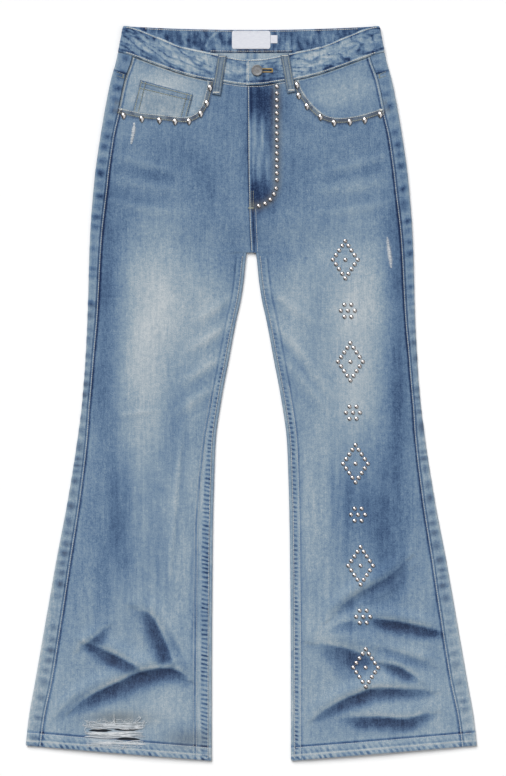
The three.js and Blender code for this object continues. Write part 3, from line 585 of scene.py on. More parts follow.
def prism(outline, low=-5, high=30):
    """An upright prism over an outline of (x, down)."""
    n = len(outline)
    vertices = [(x, TOP - down, z) for z in (low, high) for x, down in outline]
    sides = [(i, (i + 1) % n, (i + 1) % n + n, i + n) for i in range(n)]
    area = sum(a[0] * b[1] - b[0] * a[1] for a, b in zip(vertices[:n], vertices[1:n] + vertices[:1]))
    faces = sides + [tuple(range(n - 1, -1, -1)), tuple(range(n, 2 * n))]
    if area < 0:
        faces = [face[::-1] for face in faces]
    return new_mesh("cutter", vertices, faces)


def carve(piece, cutter, operation="DIFFERENCE"):
    modifier = piece.modifiers.new("carve", "BOOLEAN")
    modifier.operation = operation
    modifier.solver = "MANIFOLD"
    modifier.object = cutter
    graph = bpy.context.evaluated_depsgraph_get()
    carved = bpy.data.meshes.new_from_object(piece.evaluated_get(graph))
    piece.modifiers.clear()
    piece.data = carved
    bpy.data.objects.remove(cutter)


def places(piece, side):
    """Every vertex of a piece as (across, down, height)."""
    values = np.empty(len(piece.data.vertices) * 3)
    piece.data.vertices.foreach_get("co", values)
    x, y, z = values.reshape(-1, 3).T / MM
    return x * side, TOP - y, z


def paint(piece, name, values):
    attribute = piece.data.attributes.new(name, "FLOAT", "POINT")
    attribute.data.foreach_set("value", np.broadcast_to(values, len(piece.data.vertices)).astype(np.float32))


def opening_outline(side, rows, out):
    """The pocket opening's outline as (x, down), moved out towards the panel."""
    path = rounded_path(rows, 3)
    along = np.gradient(path, axis=0)
    along /= np.linalg.norm(along, axis=1)[:, None]
    edge = path + np.column_stack([along[:, 1], -along[:, 0]]) * out
    outline = [tuple(point) for point in edge] + [(edge[-1][0], OPENING_CORNER[1]), OPENING_CORNER]
    return [(side * across, down) for across, down in outline]


def front_grid(side):
    """Places and nominal rows of a front panel's fine grid."""
    columns = np.concatenate([spread(0, 0.075, 0.0075), spread(0.075, 0.925, 0.0125)[1:],
                              spread(0.925, 1, 0.0075)[1:]])
    first = BAND_SEAM["side"]
    rows = np.concatenate([spread(first, CROTCH, CELL), spread(CROTCH + CROTCH_STEP, HEM_TOP - 3, CELL),
                           spread(HEM_TOP - 2.2, HEM_TOP, 1.1), spread(HEM_TOP, HEM["outer"], 1.5)[1:]])
    nominal, share = np.meshgrid(rows, columns, indexing="ij")
    on_leg = nominal > CROTCH
    down = nominal.copy()
    for _ in range(5):
        across = mix(outseam(down) - GAP / 2, front_inner(side, down, on_leg), share)
        drop = band_seam(np.abs(across)) + BAND_SEAM["gap"] - first
        down = slanted(nominal, across, down) + (1 - smooth(first, BAND_REACH, nominal)) * drop
    return nominal, across, down, on_leg


def front_wash_and_shade(side, across, down):
    """How pale the cloth is at a place, with its creases, seams and worn places; the creases carry painted shade and a
    painted highlight, and the ridges' pale tops are partly painted highlight.
    """
    tone = wash_along(down)
    for row in WASH_AND_SHADE_SPOTS:
        if on_side(row, side):
            _, at, low, wide, tall, amount = row
            tone = tone + amount * np.exp(-(((across - at) / wide) ** 2) - ((down - low) / tall) ** 2)
    if side > 0:
        for at, low, wide, tall, amount in FLY_WASH_AND_SHADE:
            tone = tone + amount * np.exp(-(((across - at) / wide) ** 2) - ((down - low) / tall) ** 2)
        tone = tone + 0.5 * (noise(across / 3.6, down / 50, 41) - 0.5) * (across < 37) * (down < 250)
    streak = noise(across / 7, down / 120, 31 + side) + 0.7 * noise(across / 3.2, down / 60, 33 + side)
    tone = tone + (streak - 0.85) * mix(0.05, 0.16, smooth(600, 720, down) * (1 - smooth(860, 940, down)))
    cloud = noise(across / 34, down / 44, 35 + side) + 0.6 * noise(across / 13, down / 18, 37 + side)
    tone = tone + (cloud - 0.8) * 0.12
    for row in WHISKERS:
        if on_side(row, side):
            _, width, amount, path = row
            off, run = beside(path, across, down)
            tone = tone - amount * bell(off, width) * taper(run)
    # Ridges: pale tops, partly wear and partly painted highlight, with painted shade below them on the hem side.
    for row in RIDGES:
        if on_side(row, side):
            _, _, width, amount, path = row
            off, run = beside(path, across, down)
            tone = tone + amount * (bell(off, width) - 0.5 * bell(off + 2.2 * width, width)) * taper(run)
    # Creases: painted shade on the hem side, and a painted highlight on the ridge above.
    for row in CREASES:
        if on_side(row, side):
            _, dark, width, _, _, path = row
            off, run = beside(path, across, down)
            reach = width * (0.35 + 0.65 * taper(run))
            shade = np.where(off > 0, bell(off, CREASE_EDGE), 1 - smooth(0.3 * reach, 1.45 * reach, -off))
            uneven = 0.8 + 0.4 * noise(across / 14, down / 14, 51)
            tone = tone - dark * shade * taper(run) * uneven
            tone = tone + 0.26 * dark * bell(off - 5, 4) * taper(run)
    return np.where(tone < 0.22, 0.22 * np.exp((tone - 0.22) / 0.22), tone)


def seam_shade_and_highlights(side, across, down):
    """Painted shadow lines and painted highlights beside the seams, and the puckers' painted shade: what they add to
    the wash.
    """
    on_leg = down > CROTCH
    from_inner = across - front_inner(side, down, on_leg)
    from_outer = outseam(down) - across
    above_hem = hem_down(across, down) - down
    leg = smooth(CROTCH + 2, CROTCH + 14, down)
    # Beside the felled inseam, a painted shadow line by its inner row and a painted pale line on the seam.
    marks = -0.35 * bell(from_inner - ladder_row(side, down) - 1.5, 1.3) * leg
    marks = marks + 0.12 * bell(from_inner - ladder_width(side, down) - 3, 2.5) * leg
    # Beside the outseam, a painted shadow line by its stitches and the puckers' painted shade.
    marks -= 0.55 * bell(from_outer - 4.6, 1.5) + 0.3 * bell(from_outer, 1)
    marks -= 0.4 * outseam_blobs(side, -from_outer, down)
    # At the hem, paler cloth, a painted shadow line along its top edge, and a painted pale line with a painted shadow
    # line by its lower stitches.
    marks += 0.06 * (above_hem < 18) - 0.55 * bell(above_hem - 20.8, 1.4)
    marks += 0.2 * bell(above_hem - 8.2, 1.5) - 0.16 * bell(above_hem - 11, 1.5)
    rows = OPENING_RIGHT if side < 0 else OPENING_LEFT
    out = pocket_edge_distance(rows, across, down)
    binding = smooth(0, 1, out) * (1 - smooth(7, 10, out))
    squares = smooth(0.35, 0.7, noise(across / 5 + down / 9, down / 30, 43 + side))
    # The binding: pale puckered squares on a darker band, a painted highlight on the opening's edge and a painted
    # shadow line beyond it.
    marks += binding * (0.46 * squares - 0.36) + 0.42 * bell(out - 0.8, 1.2) - 0.3 * bell(out - 9.4, 1.5)
    # On the fly flap's edge a painted highlight with a painted shadow line beside it; on the right front, painted
    # shadow under the flap's edge.
    if side > 0:
        marks += (0.45 * bell(from_inner - 1, 1.2) - 0.2 * bell(from_inner - 4.6, 1.2)) * (down < CROTCH)
    else:
        marks -= 0.4 * bell(from_inner, 1.4) * (down < CROTCH)
    if side < 0:
        pressed = bell(across - 85.5, 0.8) + bell(across - 89.5, 0.8)
        marks -= 0.16 * pressed * smooth(690, 760, down) * (1 - smooth(1040, 1062, down))
    return marks


def pocket_edge_distance(rows, across, down):
    """Distance below and inside a pocket opening's edge; far away it is just large."""
    off, run = beside(rows[::-1], across, down)
    inside = (run > 0.001) * (run < 0.999)
    return np.where(inside, np.abs(off), 99)


def worn_white(side, across, down):
    """Where the white weft shows, from 0 to 1."""
    worn = np.zeros(np.shape(across))
    for row in ABRASIONS:
        if on_side(row, side):
            _, width, amount, path = row
            off, run = beside(path, across, down)
            ragged = smooth(0.25, 0.6, noise(across / 1.4, down / 2.2, 61))
            worn = np.maximum(worn, amount * bell(off, width) * (0.5 + 0.5 * ragged) * taper(run))
    if side < 0:
        edge = 9 * noise(across / 4, down / 3, 63)
        inside = smooth(RIP["to"] - 2, RIP["to"] + 4, across + edge - 2)
        inside = inside * (1 - smooth(RIP["from"] - 6, RIP["from"] + 2, across + edge))
        inside = inside * smooth(RIP["top"] - 3, RIP["top"] + 3, down + edge)
        worn = np.maximum(worn, 0.5 * inside * (1 - smooth(RIP["bottom"] - 4, RIP["bottom"] + 1, down + edge)))
    return worn


def rip_grime_and_shade(side, across, down):
    """Brownish grime and painted shade: over the rip, in the hem's inner corner, along the pocket openings' binding,
    and beside the fly's studs.
    """
    if side > 0:
        # Painted shadow along the fly's stud row and round its J-turn, and a brownish line along the binding that is
        # partly painted shadow.
        from_studs = np.abs(across - 38) + 40 * (down > 236)
        turn = np.abs(np.hypot((across - 6) / 0.9, down - 236) - 36) + 40 * (down < 236)
        stud_shade = 0.55 * bell(np.minimum(from_studs, turn) - 1, 6) * (down < 285) * (down > 88)
        binding = 0.55 * bell(pocket_edge_distance(OPENING_LEFT, across, down) - 5.5, 4)
        return np.maximum(stud_shade, binding)
    # Painted shade over the rip; the hem's inner corner is brownish.
    over = np.exp(-(((across - 200) / 46) ** 2) - ((down - 1040) / 11) ** 2)
    corner = np.exp(-(((across - 92) / 36) ** 2) - ((down - 1072) / 15) ** 2)
    binding = 0.55 * bell(pocket_edge_distance(OPENING_RIGHT, across, down) - 5.5, 4)
    return np.maximum(0.55 * over, np.maximum(0.4 * corner, binding))


def crease_shade_grey(side, across, down):
    """Painted shade: the creases' dark sides are greyer than the cloth around them."""
    grey = np.zeros(np.shape(across))
    for row in CREASES:
        if on_side(row, side):
            _, dark, width, _, _, path = row
            off, run = beside(path, across, down)
            grey = np.maximum(grey, 0.17 * dark * bell(off + 0.5 * width, 0.7 * width) * taper(run))
    return grey


def seat_lift(down):
    return SEAT_LIFT * (1 - smooth(*SEAT_END, down))


# The back panel's section runs round the outer edge, flat below and up to the inseam. Each column
# of the mesh is a zone and a run along it from 0 to 1.
SEAT_COLUMNS = [("strip", t) for t in spread(0, 0.92, 0.08)]
SEAT_COLUMNS += [("fold", t) for t in spread(0, 1, 0.125)]
SEAT_COLUMNS += [("flat", t) for t in spread(0, 1, 0.028)[1:]]
INSEAM_COLUMNS = [("inseam", t) for t in spread(0, 1, 0.125)[1:]] + [("end", t) for t in (0.5, 1)]


def back_point(column, nominal, down, folded):
    """Across, height and outward direction of the back's section at a column."""
    zone, t = column
    thick = mix(WALL, HEM["wall"], hem_share(nominal))
    lift = HEM["lift"] * hem_share(nominal)
    low = seat_lift(down) + thick / 2
    outer_top, inner_top = outer_level(down) + lift, inner_level(down) + lift
    radius = (outer_top - low) / 2
    centre = outer_width(down) - thick / 2 - radius
    inner_radius = (inner_top - low) / 2
    inner_centre = inner_width(down) + thick / 2 + inner_radius
    if zone == "strip":
        return mix(outseam(down) + GAP / 2, centre, t), outer_top, 0, 1
    if zone == "fold":
        c, s = math.cos(math.pi * (0.5 - t)), math.sin(math.pi * (0.5 - t))
        return centre + radius * c, low + radius + radius * s, c, s
    if zone == "flat":
        end = np.where(folded, inner_centre, GAP / 2)
        return mix(centre, end, t), low, 0, -1
    if zone == "inseam":
        c, s = math.cos(math.pi * (1.5 - t)), math.sin(math.pi * (1.5 - t))
        return inner_centre + inner_radius * c, low + inner_radius + inner_radius * s, c, s
    return mix(inner_centre, inner_width(down) + INSEAM_WRAP - GAP / 2, t), inner_top, 0, 1


def yoke_seam(column, across, facing):
    if column[0] == "strip":
        return mix(YOKE["outseam"], YOKE["fold"], (across - outseam(YOKE["outseam"])) / OUTER[3][2])
    if column[0] == "fold" and column[1] < 0.5:
        return mix(YOKE["fold"] + 1, YOKE["fold"], facing)
    return mix(YOKE["centre"], YOKE["fold"], np.minimum(1, across / outer_width(YOKE["fold"])))


def band_seam_round(column, across):
    return band_seam(across) if column[0] == "strip" else BAND_SEAM["back"] + 0 * across


def back_columns(side, columns, nominal, folded, true_down):
    """Middle points, outward directions and walls of a back piece, a list of columns."""
    points, normals = [], []
    for column in columns:
        down = nominal.copy()
        for _ in range(5):
            across, height, facing, up = back_point(column, nominal, down, folded)
            down = true_down(column, nominal, down, across, facing)
        across, height, facing, up = back_point(column, nominal, down, folded)
        height, up = height + 0 * across, up + 0 * across
        if column[0] in ("strip", "fold") and up[0] > -0.5:
            relief = 0.55 * outseam_blobs(side, across - outseam(down), down)
            across, height = across + relief * facing, height + relief * up
        if column[0] == "flat":
            height = height + underside_relief(side, across, down)
        points.append(np.column_stack([side * across, TOP - down, height]))
        normals.append(np.column_stack([side * facing + 0 * across, 0 * across, up]))
    return np.stack(points, axis=1), np.stack(normals, axis=1)


UNDER_CREASE = 0.14  # the hidden side's creases are pressed almost flat


def underside_relief(side, across, down):
    """The underside's creases rise from the floor a little; they mirror the other leg's."""
    height = np.maximum(crease_height(-side, across, down), 0) * UNDER_CREASE
    return height * smooth(600, 700, down) * smooth(0, 20, outer_width(down) - across)


def back_panel(side):
    first = YOKE["outseam"]
    seat_rows = spread(first, CROTCH, 3.2)
    leg_rows = np.concatenate([spread(CROTCH + CROTCH_STEP, HEM_TOP - 3, 3.2),
                               spread(HEM_TOP - 2.2, HEM_TOP, 1.1), spread(HEM_TOP, HEM["outer"], 1.8)[1:]])
    nominal = np.concatenate([seat_rows, leg_rows])
    folded = nominal > CROTCH

    def true_down(column, rows, down, across, facing):
        share = 1 - smooth(first, YOKE["reach"], rows)
        return slanted(rows, across, down) + share * (yoke_seam(column, across, facing) + GAP - first)

    points, normals = back_columns(side, SEAT_COLUMNS, nominal, folded, true_down)
    more, more_normals = back_columns(side, INSEAM_COLUMNS, leg_rows, folded[folded], true_down)
    seat_count = points.shape[0] * points.shape[1]
    quads = [grid_quads(*points.shape[:2])]
    joint = np.arange(seat_count).reshape(points.shape[:2])[len(seat_rows):, -1]
    index = seat_count + np.arange(more.shape[0] * more.shape[1]).reshape(more.shape[:2])
    index = np.column_stack([joint, index])
    corners = (index[:-1, :-1], index[:-1, 1:], index[1:, 1:], index[1:, :-1])
    quads.append(np.stack(corners, axis=-1).reshape(-1, 4))
    wall = np.concatenate([np.repeat(wall_at(nominal), points.shape[1]),
                           np.repeat(wall_at(leg_rows), more.shape[1])])
    vertices, faces = shell(np.vstack([points.reshape(-1, 3), more.reshape(-1, 3)]),
                            np.vstack([normals.reshape(-1, 3), more_normals.reshape(-1, 3)]),
                            wall, np.vstack(quads))
    return new_mesh(f"back_{SIDE_NAME[side]}_cloth", vertices, faces)


def yoke(side):
    def true_down(column, rows, down, across, facing):
        top = band_seam_round(column, across) + BAND_SEAM["gap"]
        return mix(top, yoke_seam(column, across, facing), rows)

    rows = spread(0, 1, 0.08)
    columns = SEAT_COLUMNS
    points, normals = back_columns(side, columns, rows, np.zeros(len(rows), bool), true_down)
    vertices, faces = shell(points.reshape(-1, 3), normals.reshape(-1, 3), WALL, grid_quads(*points.shape[:2]))
    return new_mesh(f"yoke_{SIDE_NAME[side]}_cloth", vertices, faces)


SIDE_NAME = {1: "left", -1: "right"}
BOW = [(-42, 6.5), (-52, 11), (-61, 19), (-68, 31)]  # the pale pressed line on the inner back
BAND_ENDS = {"under": 0.15, "step": 0.13, "over": 0.034, "level": 0.23}
BAND_RADIUS = (BAND["level"] - BAND["back"]) / 2


def band_reach(key):
    down = 1 if key == 0 else BAND_SEAM["back"]
    return outer_width(down) - BAND["wall"] / 2 - BAND_RADIUS


def band_stations():
    """Rows along the waistband from its right end, under, round the back to its left end, on top."""
    stations = []

    def front(side, share, level):
        edge, seam = share * band_reach(0), share * band_reach(1)
        stations.append((side * edge, band_edge(edge), side * seam, band_seam(seam), level, 0, 1))

    def fold(side, angle):
        c, s = math.cos(angle), math.sin(angle)
        height = BAND["back"] + BAND_RADIUS * (1 + s)
        edge, seam = (side * (band_reach(key) + BAND_RADIUS * c) for key in (0, 1))
        stations.append((edge, BACK_BAND_EDGE["side"], seam, BAND_SEAM["back"], height, side * c, s))

    for share in spread(BAND_ENDS["under"], 0.005, 0.012):
        front(1, share, BAND["lower"])
    for share in spread(0.01, 0.98, 0.012):
        rise = smooth(0.01, BAND_ENDS["step"], share)
        front(-1, share, mix(BAND["lower"], BAND["level"], rise))
    turns = np.pi * (0.5 - spread(0, 1, 0.1))
    for angle in turns:
        fold(-1, angle)
    for share in spread(-0.985, 0.985, 0.012):
        dip = BACK_BAND_EDGE["side"] + BACK_BAND_EDGE["dip"] * (1 - share**2)
        edge, seam = share * band_reach(0), share * band_reach(1)
        stations.append((edge, dip, seam, BAND_SEAM["back"], BAND["back"], 0, -1))
    for angle in turns[::-1]:
        fold(1, angle)
    for share in spread(0.98, BAND_ENDS["level"], 0.012):
        front(1, share, BAND["level"])
    for share in spread(0.215, 0.01, 0.012):
        front(1, share, mix(BAND["upper"], BAND["level"], smooth(0.17, BAND_ENDS["level"], share)))
    for share in (0.008, 0.02, BAND_ENDS["over"]):
        front(-1, share, BAND["upper"])
    return np.array(stations, float)


def band_crumple(x, v):
    """The waistband's crumpled waves, from 0 to 1."""
    fold = 1 - np.abs(2 * noise(x / 21 + 1.2 * v, 6.5 * v - x / 24, 71) - 1)
    small = 1 - np.abs(2 * noise(x / 11 + v, 8 * v - x / 30, 73) - 1)
    bars = noise(x / 4.6, 1.2 * v, 74) * np.maximum(smooth(0.6, 0.78, v), 1 - smooth(0.12, 0.3, v))
    return np.clip(0.66 * smooth(0.7, 1, fold) + 0.4 * smooth(0.65, 1, small) + 0.3 * bars, 0, 1)


def band_puckers(x, v):
    """The upright puckers of the waistband's hidden and inner back, from 0 to 1."""
    return smooth(0.2, 0.8, 0.6 * noise(x / 2.7, 2.6 * v, 75) + 0.4 * noise(x / 9, 3 * v, 77))


def waistband():
    stations = band_stations()
    v = spread(0, 1, 1 / 22)
    rows = len(stations)
    x = mix(stations[:, [0]], stations[:, [2]], v)
    down = mix(stations[:, [1]], stations[:, [3]], v)
    facing, up = stations[:, [5]] + 0 * v, stations[:, [6]] + 0 * v
    middle = np.stack([x, TOP - down, stations[:, [4]] + 0 * v], axis=-1)
    normals = np.stack([facing, 0 * up, up], axis=-1)
    front = smooth(-0.2, 0.6, up) * (np.abs(x) > 42)
    inside = smooth(-0.2, -0.9, up)
    edge = smooth(0, 0.12, v) * (1 - smooth(0.88, 1, v))
    relief = (0.9 * band_crumple(x, v + 0 * x) * front + 0.3 * band_puckers(x, v + 0 * x) * (1 - front) * up) * edge
    relief = np.where(np.abs(x) < 42, 0.12 * band_crumple(x, v + 0 * x) * edge * (1 - inside), relief)
    middle = middle + normals * np.abs(relief)[..., None] * np.sign(up + 0.001)[..., None]
    round_edge = 1 - 0.5 * bell(np.minimum(v, 1 - v) * 40, 1)
    wall = np.broadcast_to(BAND["wall"] * round_edge, (rows, len(v)))
    vertices, faces = shell(middle.reshape(-1, 3), normals.reshape(-1, 3), wall.reshape(-1),
                            grid_quads(rows, len(v)))
    piece = new_mesh("waistband_cloth", vertices, faces)
    carve(piece, keyhole())
    return piece


def keyhole():
    """The buttonhole's cutter, through the waistband's upper end only."""
    eye, slot = BUTTONHOLE["eye"], BUTTONHOLE["slot"] / 2
    start = math.asin(slot / eye)
    x, down = BUTTON["across"], BUTTON["down"]
    angles = spread(start, 2 * math.pi - start, 0.25)
    outline = [(x + eye * math.cos(angle), down + eye * math.sin(angle)) for angle in angles]
    outline += [(x + BUTTONHOLE["length"], down - slot), (x + BUTTONHOLE["length"], down + slot)]
    low = BAND["lower"] + BAND["wall"] / 2 + GAP / 2
    return prism(outline, low, low + BUTTONHOLE["deep"])


def band_tone(piece):
    """Paleness all round the waistband, worked out from where each point lies."""
    across, down, height = places(piece, 1)
    at = np.abs(across)
    on_front = height > BAND["back"] + BAND_RADIUS
    v_front = (down - band_edge(at)) / (band_seam(at) - band_edge(at))
    v_back = (down - BACK_BAND_EDGE["side"]) / (BAND_SEAM["back"] - BACK_BAND_EDGE["side"])
    v = np.clip(np.where(on_front, v_front, v_back), 0, 1)
    tone = 0.8 + 0.1 * bell(at - 75, 40) - 0.06 * smooth(130, 175, at)
    tone = tone - 0.72 * band_crumple(across, v) * np.where(at > 45, 1, 0.6)
    # Darker round the button, and at the band's end a painted highlight with a painted shadow line beside it.
    tone = tone - (0.2 + 0.5 * noise(across / 4.2, 1.2 * v, 86)) * bell(across - 24, 17) * smooth(0.1, 0.5, v) + 0.3 * bell(across + 6.4, 1.6) - 0.3 * bell(across + 9.5, 1.4)
    tone = tone + 0.3 * (noise(across / 15, v * 3, 72) - 0.5)
    fine = noise(across / 3, v * 9, 79) - 0.5
    # Painted highlights along the band's top edge and its seam, with painted shadow lines just inside them.
    tone = tone + 0.14 * fine + 0.22 * bell(v * 40 - 1, 1.6) + 0.3 * bell((1 - v) * 40 - 1.8, 1.6)
    tone = tone - 0.25 * bell(v * 40 - 3.6, 1.2) - 0.25 * bell((1 - v) * 40 - 5, 1.2)
    blotches = noise(across / 13, v * 3.4, 83) - 0.5
    low_bars = noise(across / 3.6, v, 85) * smooth(0.62, 0.78, v)
    inner = 0.36 + 0.42 * (band_puckers(across, v) - 0.5) + 0.24 * blotches + 0.2 * low_bars + 0.24 * fine
    # The inner band is darker below its top edge, with a painted shadow line along its lower edge.
    inner = inner - 0.14 * bell(v * 40 - 4, 4) - 0.3 * bell(v * 40 - 38, 2)
    inner = inner + 0.45 * bell(beside(BOW, across, down)[0], 1.5)
    return np.where(on_front, tone, inner)


def facing_wall(side, drop, outline, name):
    """The cloth that shows inside a pocket opening, or on it, cut to an outline."""
    rows, share = np.meshgrid(spread(0, 1, 0.014), spread(0, 1, 0.009), indexing="ij")
    down = mix(60, FACING["lower"], rows)
    for _ in range(5):
        across = mix(outseam(down) - GAP / 2, FACING["inner"], share)
        down = mix(band_seam(across) + BAND_SEAM["gap"], FACING["lower"], rows)
    wave = 0.25 * noise(across / 20, down / 14, 81)
    near_band = bell(down - band_seam(across), 9)
    middle = front_middle(side, across, down) - drop - wave + 0.45 * (drop - 0.6 * LAYER) * near_band
    points = np.stack([side * across, TOP - down, middle], axis=-1).reshape(-1, 3)
    normals = np.broadcast_to([0.0, 0.0, 1.0], points.shape)
    vertices, faces = shell(points, normals, WALL - 0.2, grid_quads(*rows.shape))
    piece = new_mesh(name, vertices, faces)
    carve(piece, prism(outline), "INTERSECT")
    return piece


def front_panel(side):
    nominal, across, down, on_leg = front_grid(side)
    middle = front_middle(side, across, down, on_leg) + HEM["lift"] * hem_share(nominal)
    middle = middle + front_relief(side, across, down, on_leg)
    points = np.stack([side * across, TOP - down, middle], axis=-1).reshape(-1, 3)
    normals = np.broadcast_to([0.0, 0.0, 1.0], points.shape)
    vertices, faces = shell(points, normals, wall_at(nominal).reshape(-1), grid_quads(*across.shape))
    piece = new_mesh(f"front_{SIDE_NAME[side]}_cloth", vertices, faces)
    carve(piece, prism(opening_outline(side, OPENING_RIGHT if side < 0 else OPENING_LEFT, 0)))
    if side < 0:
        for start, end, at, tall in RIP_SLOTS:
            carve(piece, slot_cutter(start, end, at, tall))
    return piece


def slot_cutter(start, end, down, tall):
    """A ragged lens through the right leg's cloth."""
    run = spread(0, 1, 0.06)
    half = tall / 2 * np.sin(np.pi * run) ** 0.7 * (0.75 + 0.5 * noise(run * 9, 0 * run, int(down)))
    drift = 0.8 * (noise(run * 4, 0 * run, int(down) + 3) - 0.5)
    upper = list(zip(-mix(start, end, run), down - half + drift))
    lower = list(zip(-mix(start, end, run), down + half + drift))
    return prism(upper + lower[-2:0:-1], 2, 20)


def flat_shell(name, outline_fn, low, wall, cell=2):
    """A thin plate over a mapped square: outline_fn gives (x, down) for u and v from 0 to 1."""
    u, v = np.meshgrid(spread(0, 1, cell), spread(0, 1, cell), indexing="ij")
    x, down = outline_fn(u, v)
    height = low + wall / 2 + 0 * x
    points = np.stack([x, TOP - down, height], axis=-1).reshape(-1, 3)
    edge = np.minimum(np.minimum(u, 1 - u), np.minimum(v, 1 - v)).reshape(-1)
    thick = wall * (1 - 0.35 * bell(edge, cell * 0.9))
    normals = np.broadcast_to([0.0, 0.0, 1.0], points.shape)
    vertices, faces = shell(points, normals, thick, grid_quads(*u.shape))
    return new_mesh(name, vertices, faces)


def back_pocket_place(side, u, v):
    """A place on a back pocket, u across it and v down it."""
    tilt = BACK_POCKET["tilt"]
    across = (u - 0.5) * BACK_POCKET["width"] * mix(1, 0.93, v)
    tall = BACK_POCKET["side"] + BACK_POCKET["point"] * (1 - np.abs(2 * u - 1))
    down = v * tall
    x = side * (BACK_POCKET["across"] + across * math.cos(tilt) + down * math.sin(tilt))
    return x, BACK_POCKET["down"] - across * math.sin(tilt) + down * math.cos(tilt)


def loop_place(x, top, u, v):
    return x + (u - 0.5) * LOOP["width"], top + v * LOOP["hidden"]


def rounded_place(plate, u, v):
    """A place on a plate with round corners."""
    width, tall, r = plate["to"] - plate["from"], plate["bottom"] - plate["top"], plate["round"]
    x, down = plate["from"] + u * width, plate["top"] + v * tall
    side_gap = np.minimum(x - plate["from"], plate["to"] - x)
    pull = np.where(side_gap < r, r - np.sqrt(np.maximum(r * r - (r - side_gap) ** 2, 0)), 0)
    return x, plate["top"] + pull + v * (tall - 2 * pull)


def front_loop(side, name, ends):
    """A belt loop of the front: over the waistband's edge, down across it, and its foot on the panel."""
    (top_across, top_down), (foot_across, foot_down) = ends
    lean = math.atan2(foot_across - top_across, foot_down - top_down)
    share, edge = np.meshgrid(spread(0, 1, 0.02), spread(-1, 1, 0.125), indexing="ij")
    across = mix(top_across, foot_across, share)
    down = mix(top_down, foot_down, share)
    on_band = BAND["level"] + BAND["wall"] / 2 + 0.9
    on_panel = front_middle(side, across, down) + WALL / 2 + GAP
    low = mix(on_band, np.maximum(on_panel, on_band - 0.9), smooth(0.8, 0.9, share))
    foot = np.maximum(1 - smooth(0.06, 0.12, share), smooth(0.76, 0.82, share))
    thick = mix(LOOP["wall"], LOOP["foot"], foot)
    ribs = 0.16 * bell(np.abs(edge) - 0.86, 0.1) - 0.14 * bell(np.abs(edge) - 0.62, 0.08)
    x = across + edge * LOOP["width"] * math.cos(lean) / 2
    y = down - edge * LOOP["width"] * math.sin(lean) / 2
    bow = 0.3 * (1 - edge**2) * (1 - foot)
    points = np.stack([side * x, TOP - y, low + thick / 2 + bow], axis=-1).reshape(-1, 3)
    normals = np.broadcast_to([0.0, 0.0, 1.0], points.shape)
    thick = (thick + ribs) * (1 - 0.3 * bell(1 - np.abs(edge), 0.08))
    vertices, faces = shell(points, normals, thick.reshape(-1), grid_quads(*share.shape))
    return new_mesh(name, vertices, faces)


def linear(red, green, blue, exposure=0.8):
    """A colour as seen on a screen, 0 to 255, as the renderer's own numbers."""
    levels = [c / 255 for c in (red, green, blue)]
    return tuple(exposure * (((c + 0.055) / 1.055) ** 2.4 if c > 0.04 else c / 12.92) for c in levels) + (1,)


def add_node(tree, kind, inputs=None, **settings):
    """A new node; an input is a value or another node's output."""
    node = tree.nodes.new(kind)
    for key, value in settings.items():
        setattr(node, key, value)
    for key, value in (inputs or {}).items():
        if isinstance(value, bpy.types.NodeSocket):
            tree.links.new(value, node.inputs[key])
        else:
            node.inputs[key].default_value = value
    return node


def sums(tree, start, parts):
    """start plus each (socket - 0.5) times its weight."""
    total = start
    for socket, weight in parts:
        scaled = add_node(tree, "ShaderNodeMath", {0: socket, 1: weight, 2: -0.5 * weight}, operation="MULTIPLY_ADD")
        total = add_node(tree, "ShaderNodeMath", {0: total, 1: scaled.outputs[0]}).outputs[0]
    return total


def stretched_noise(tree, cells, detail=2.0):
    """Noise whose cells have the given size in metres along x, y and z."""
    coordinates = add_node(tree, "ShaderNodeTexCoord").outputs["Object"]
    scale = tuple(1 / cell for cell in cells)
    mapping = add_node(tree, "ShaderNodeMapping", {"Vector": coordinates, "Scale": scale})
    noise_node = add_node(
        tree, "ShaderNodeTexNoise", {"Vector": mapping.outputs[0], "Scale": 1.0, "Detail": detail}
    )
    return noise_node.outputs["Fac"]


def pucker_wave(tree, pitch, turn):
    """Rounded bars at a pitch in millimetres, across a direction turned from +X by an angle, from 0 to 1."""
    coordinates = add_node(tree, "ShaderNodeTexCoord").outputs["Object"]
    turned = add_node(tree, "ShaderNodeMapping", {"Vector": coordinates, "Rotation": (0, 0, -turn)})
    wave = add_node(
        tree, "ShaderNodeTexWave",
        {"Vector": turned.outputs[0], "Scale": 2 * math.pi / 20 / (pitch * MM), "Distortion": 5.0,
         "Detail": 1.5, "Detail Scale": 0.5},
        bands_direction="X",
    )
    span = {"Value": wave.outputs["Fac"], "From Min": 0.2, "From Max": 0.9}
    return add_node(tree, "ShaderNodeMapRange", span, interpolation_type="SMOOTHSTEP").outputs[0]


def new_material(name, roughness, metallic=0.0, **sockets):
    material = bpy.data.materials.new(name)
    material.use_nodes = True
    tree = material.node_tree
    shader = tree.nodes["Principled BSDF"]
    shader.inputs["Roughness"].default_value = roughness
    shader.inputs["Metallic"].default_value = metallic
    for key, value in sockets.items():
        shader.inputs[key.replace("_", " ")].default_value = value
    return material, tree, shader


DENIM_TONES = [
    (0.0, (22, 46, 84)), (0.2, (61, 88, 126)), (0.4, (93, 122, 156)), (0.55, (115, 142, 171)),
    (0.75, (145, 167, 186)), (0.92, (173, 188, 199)), (1.15, (208, 215, 219)),
]


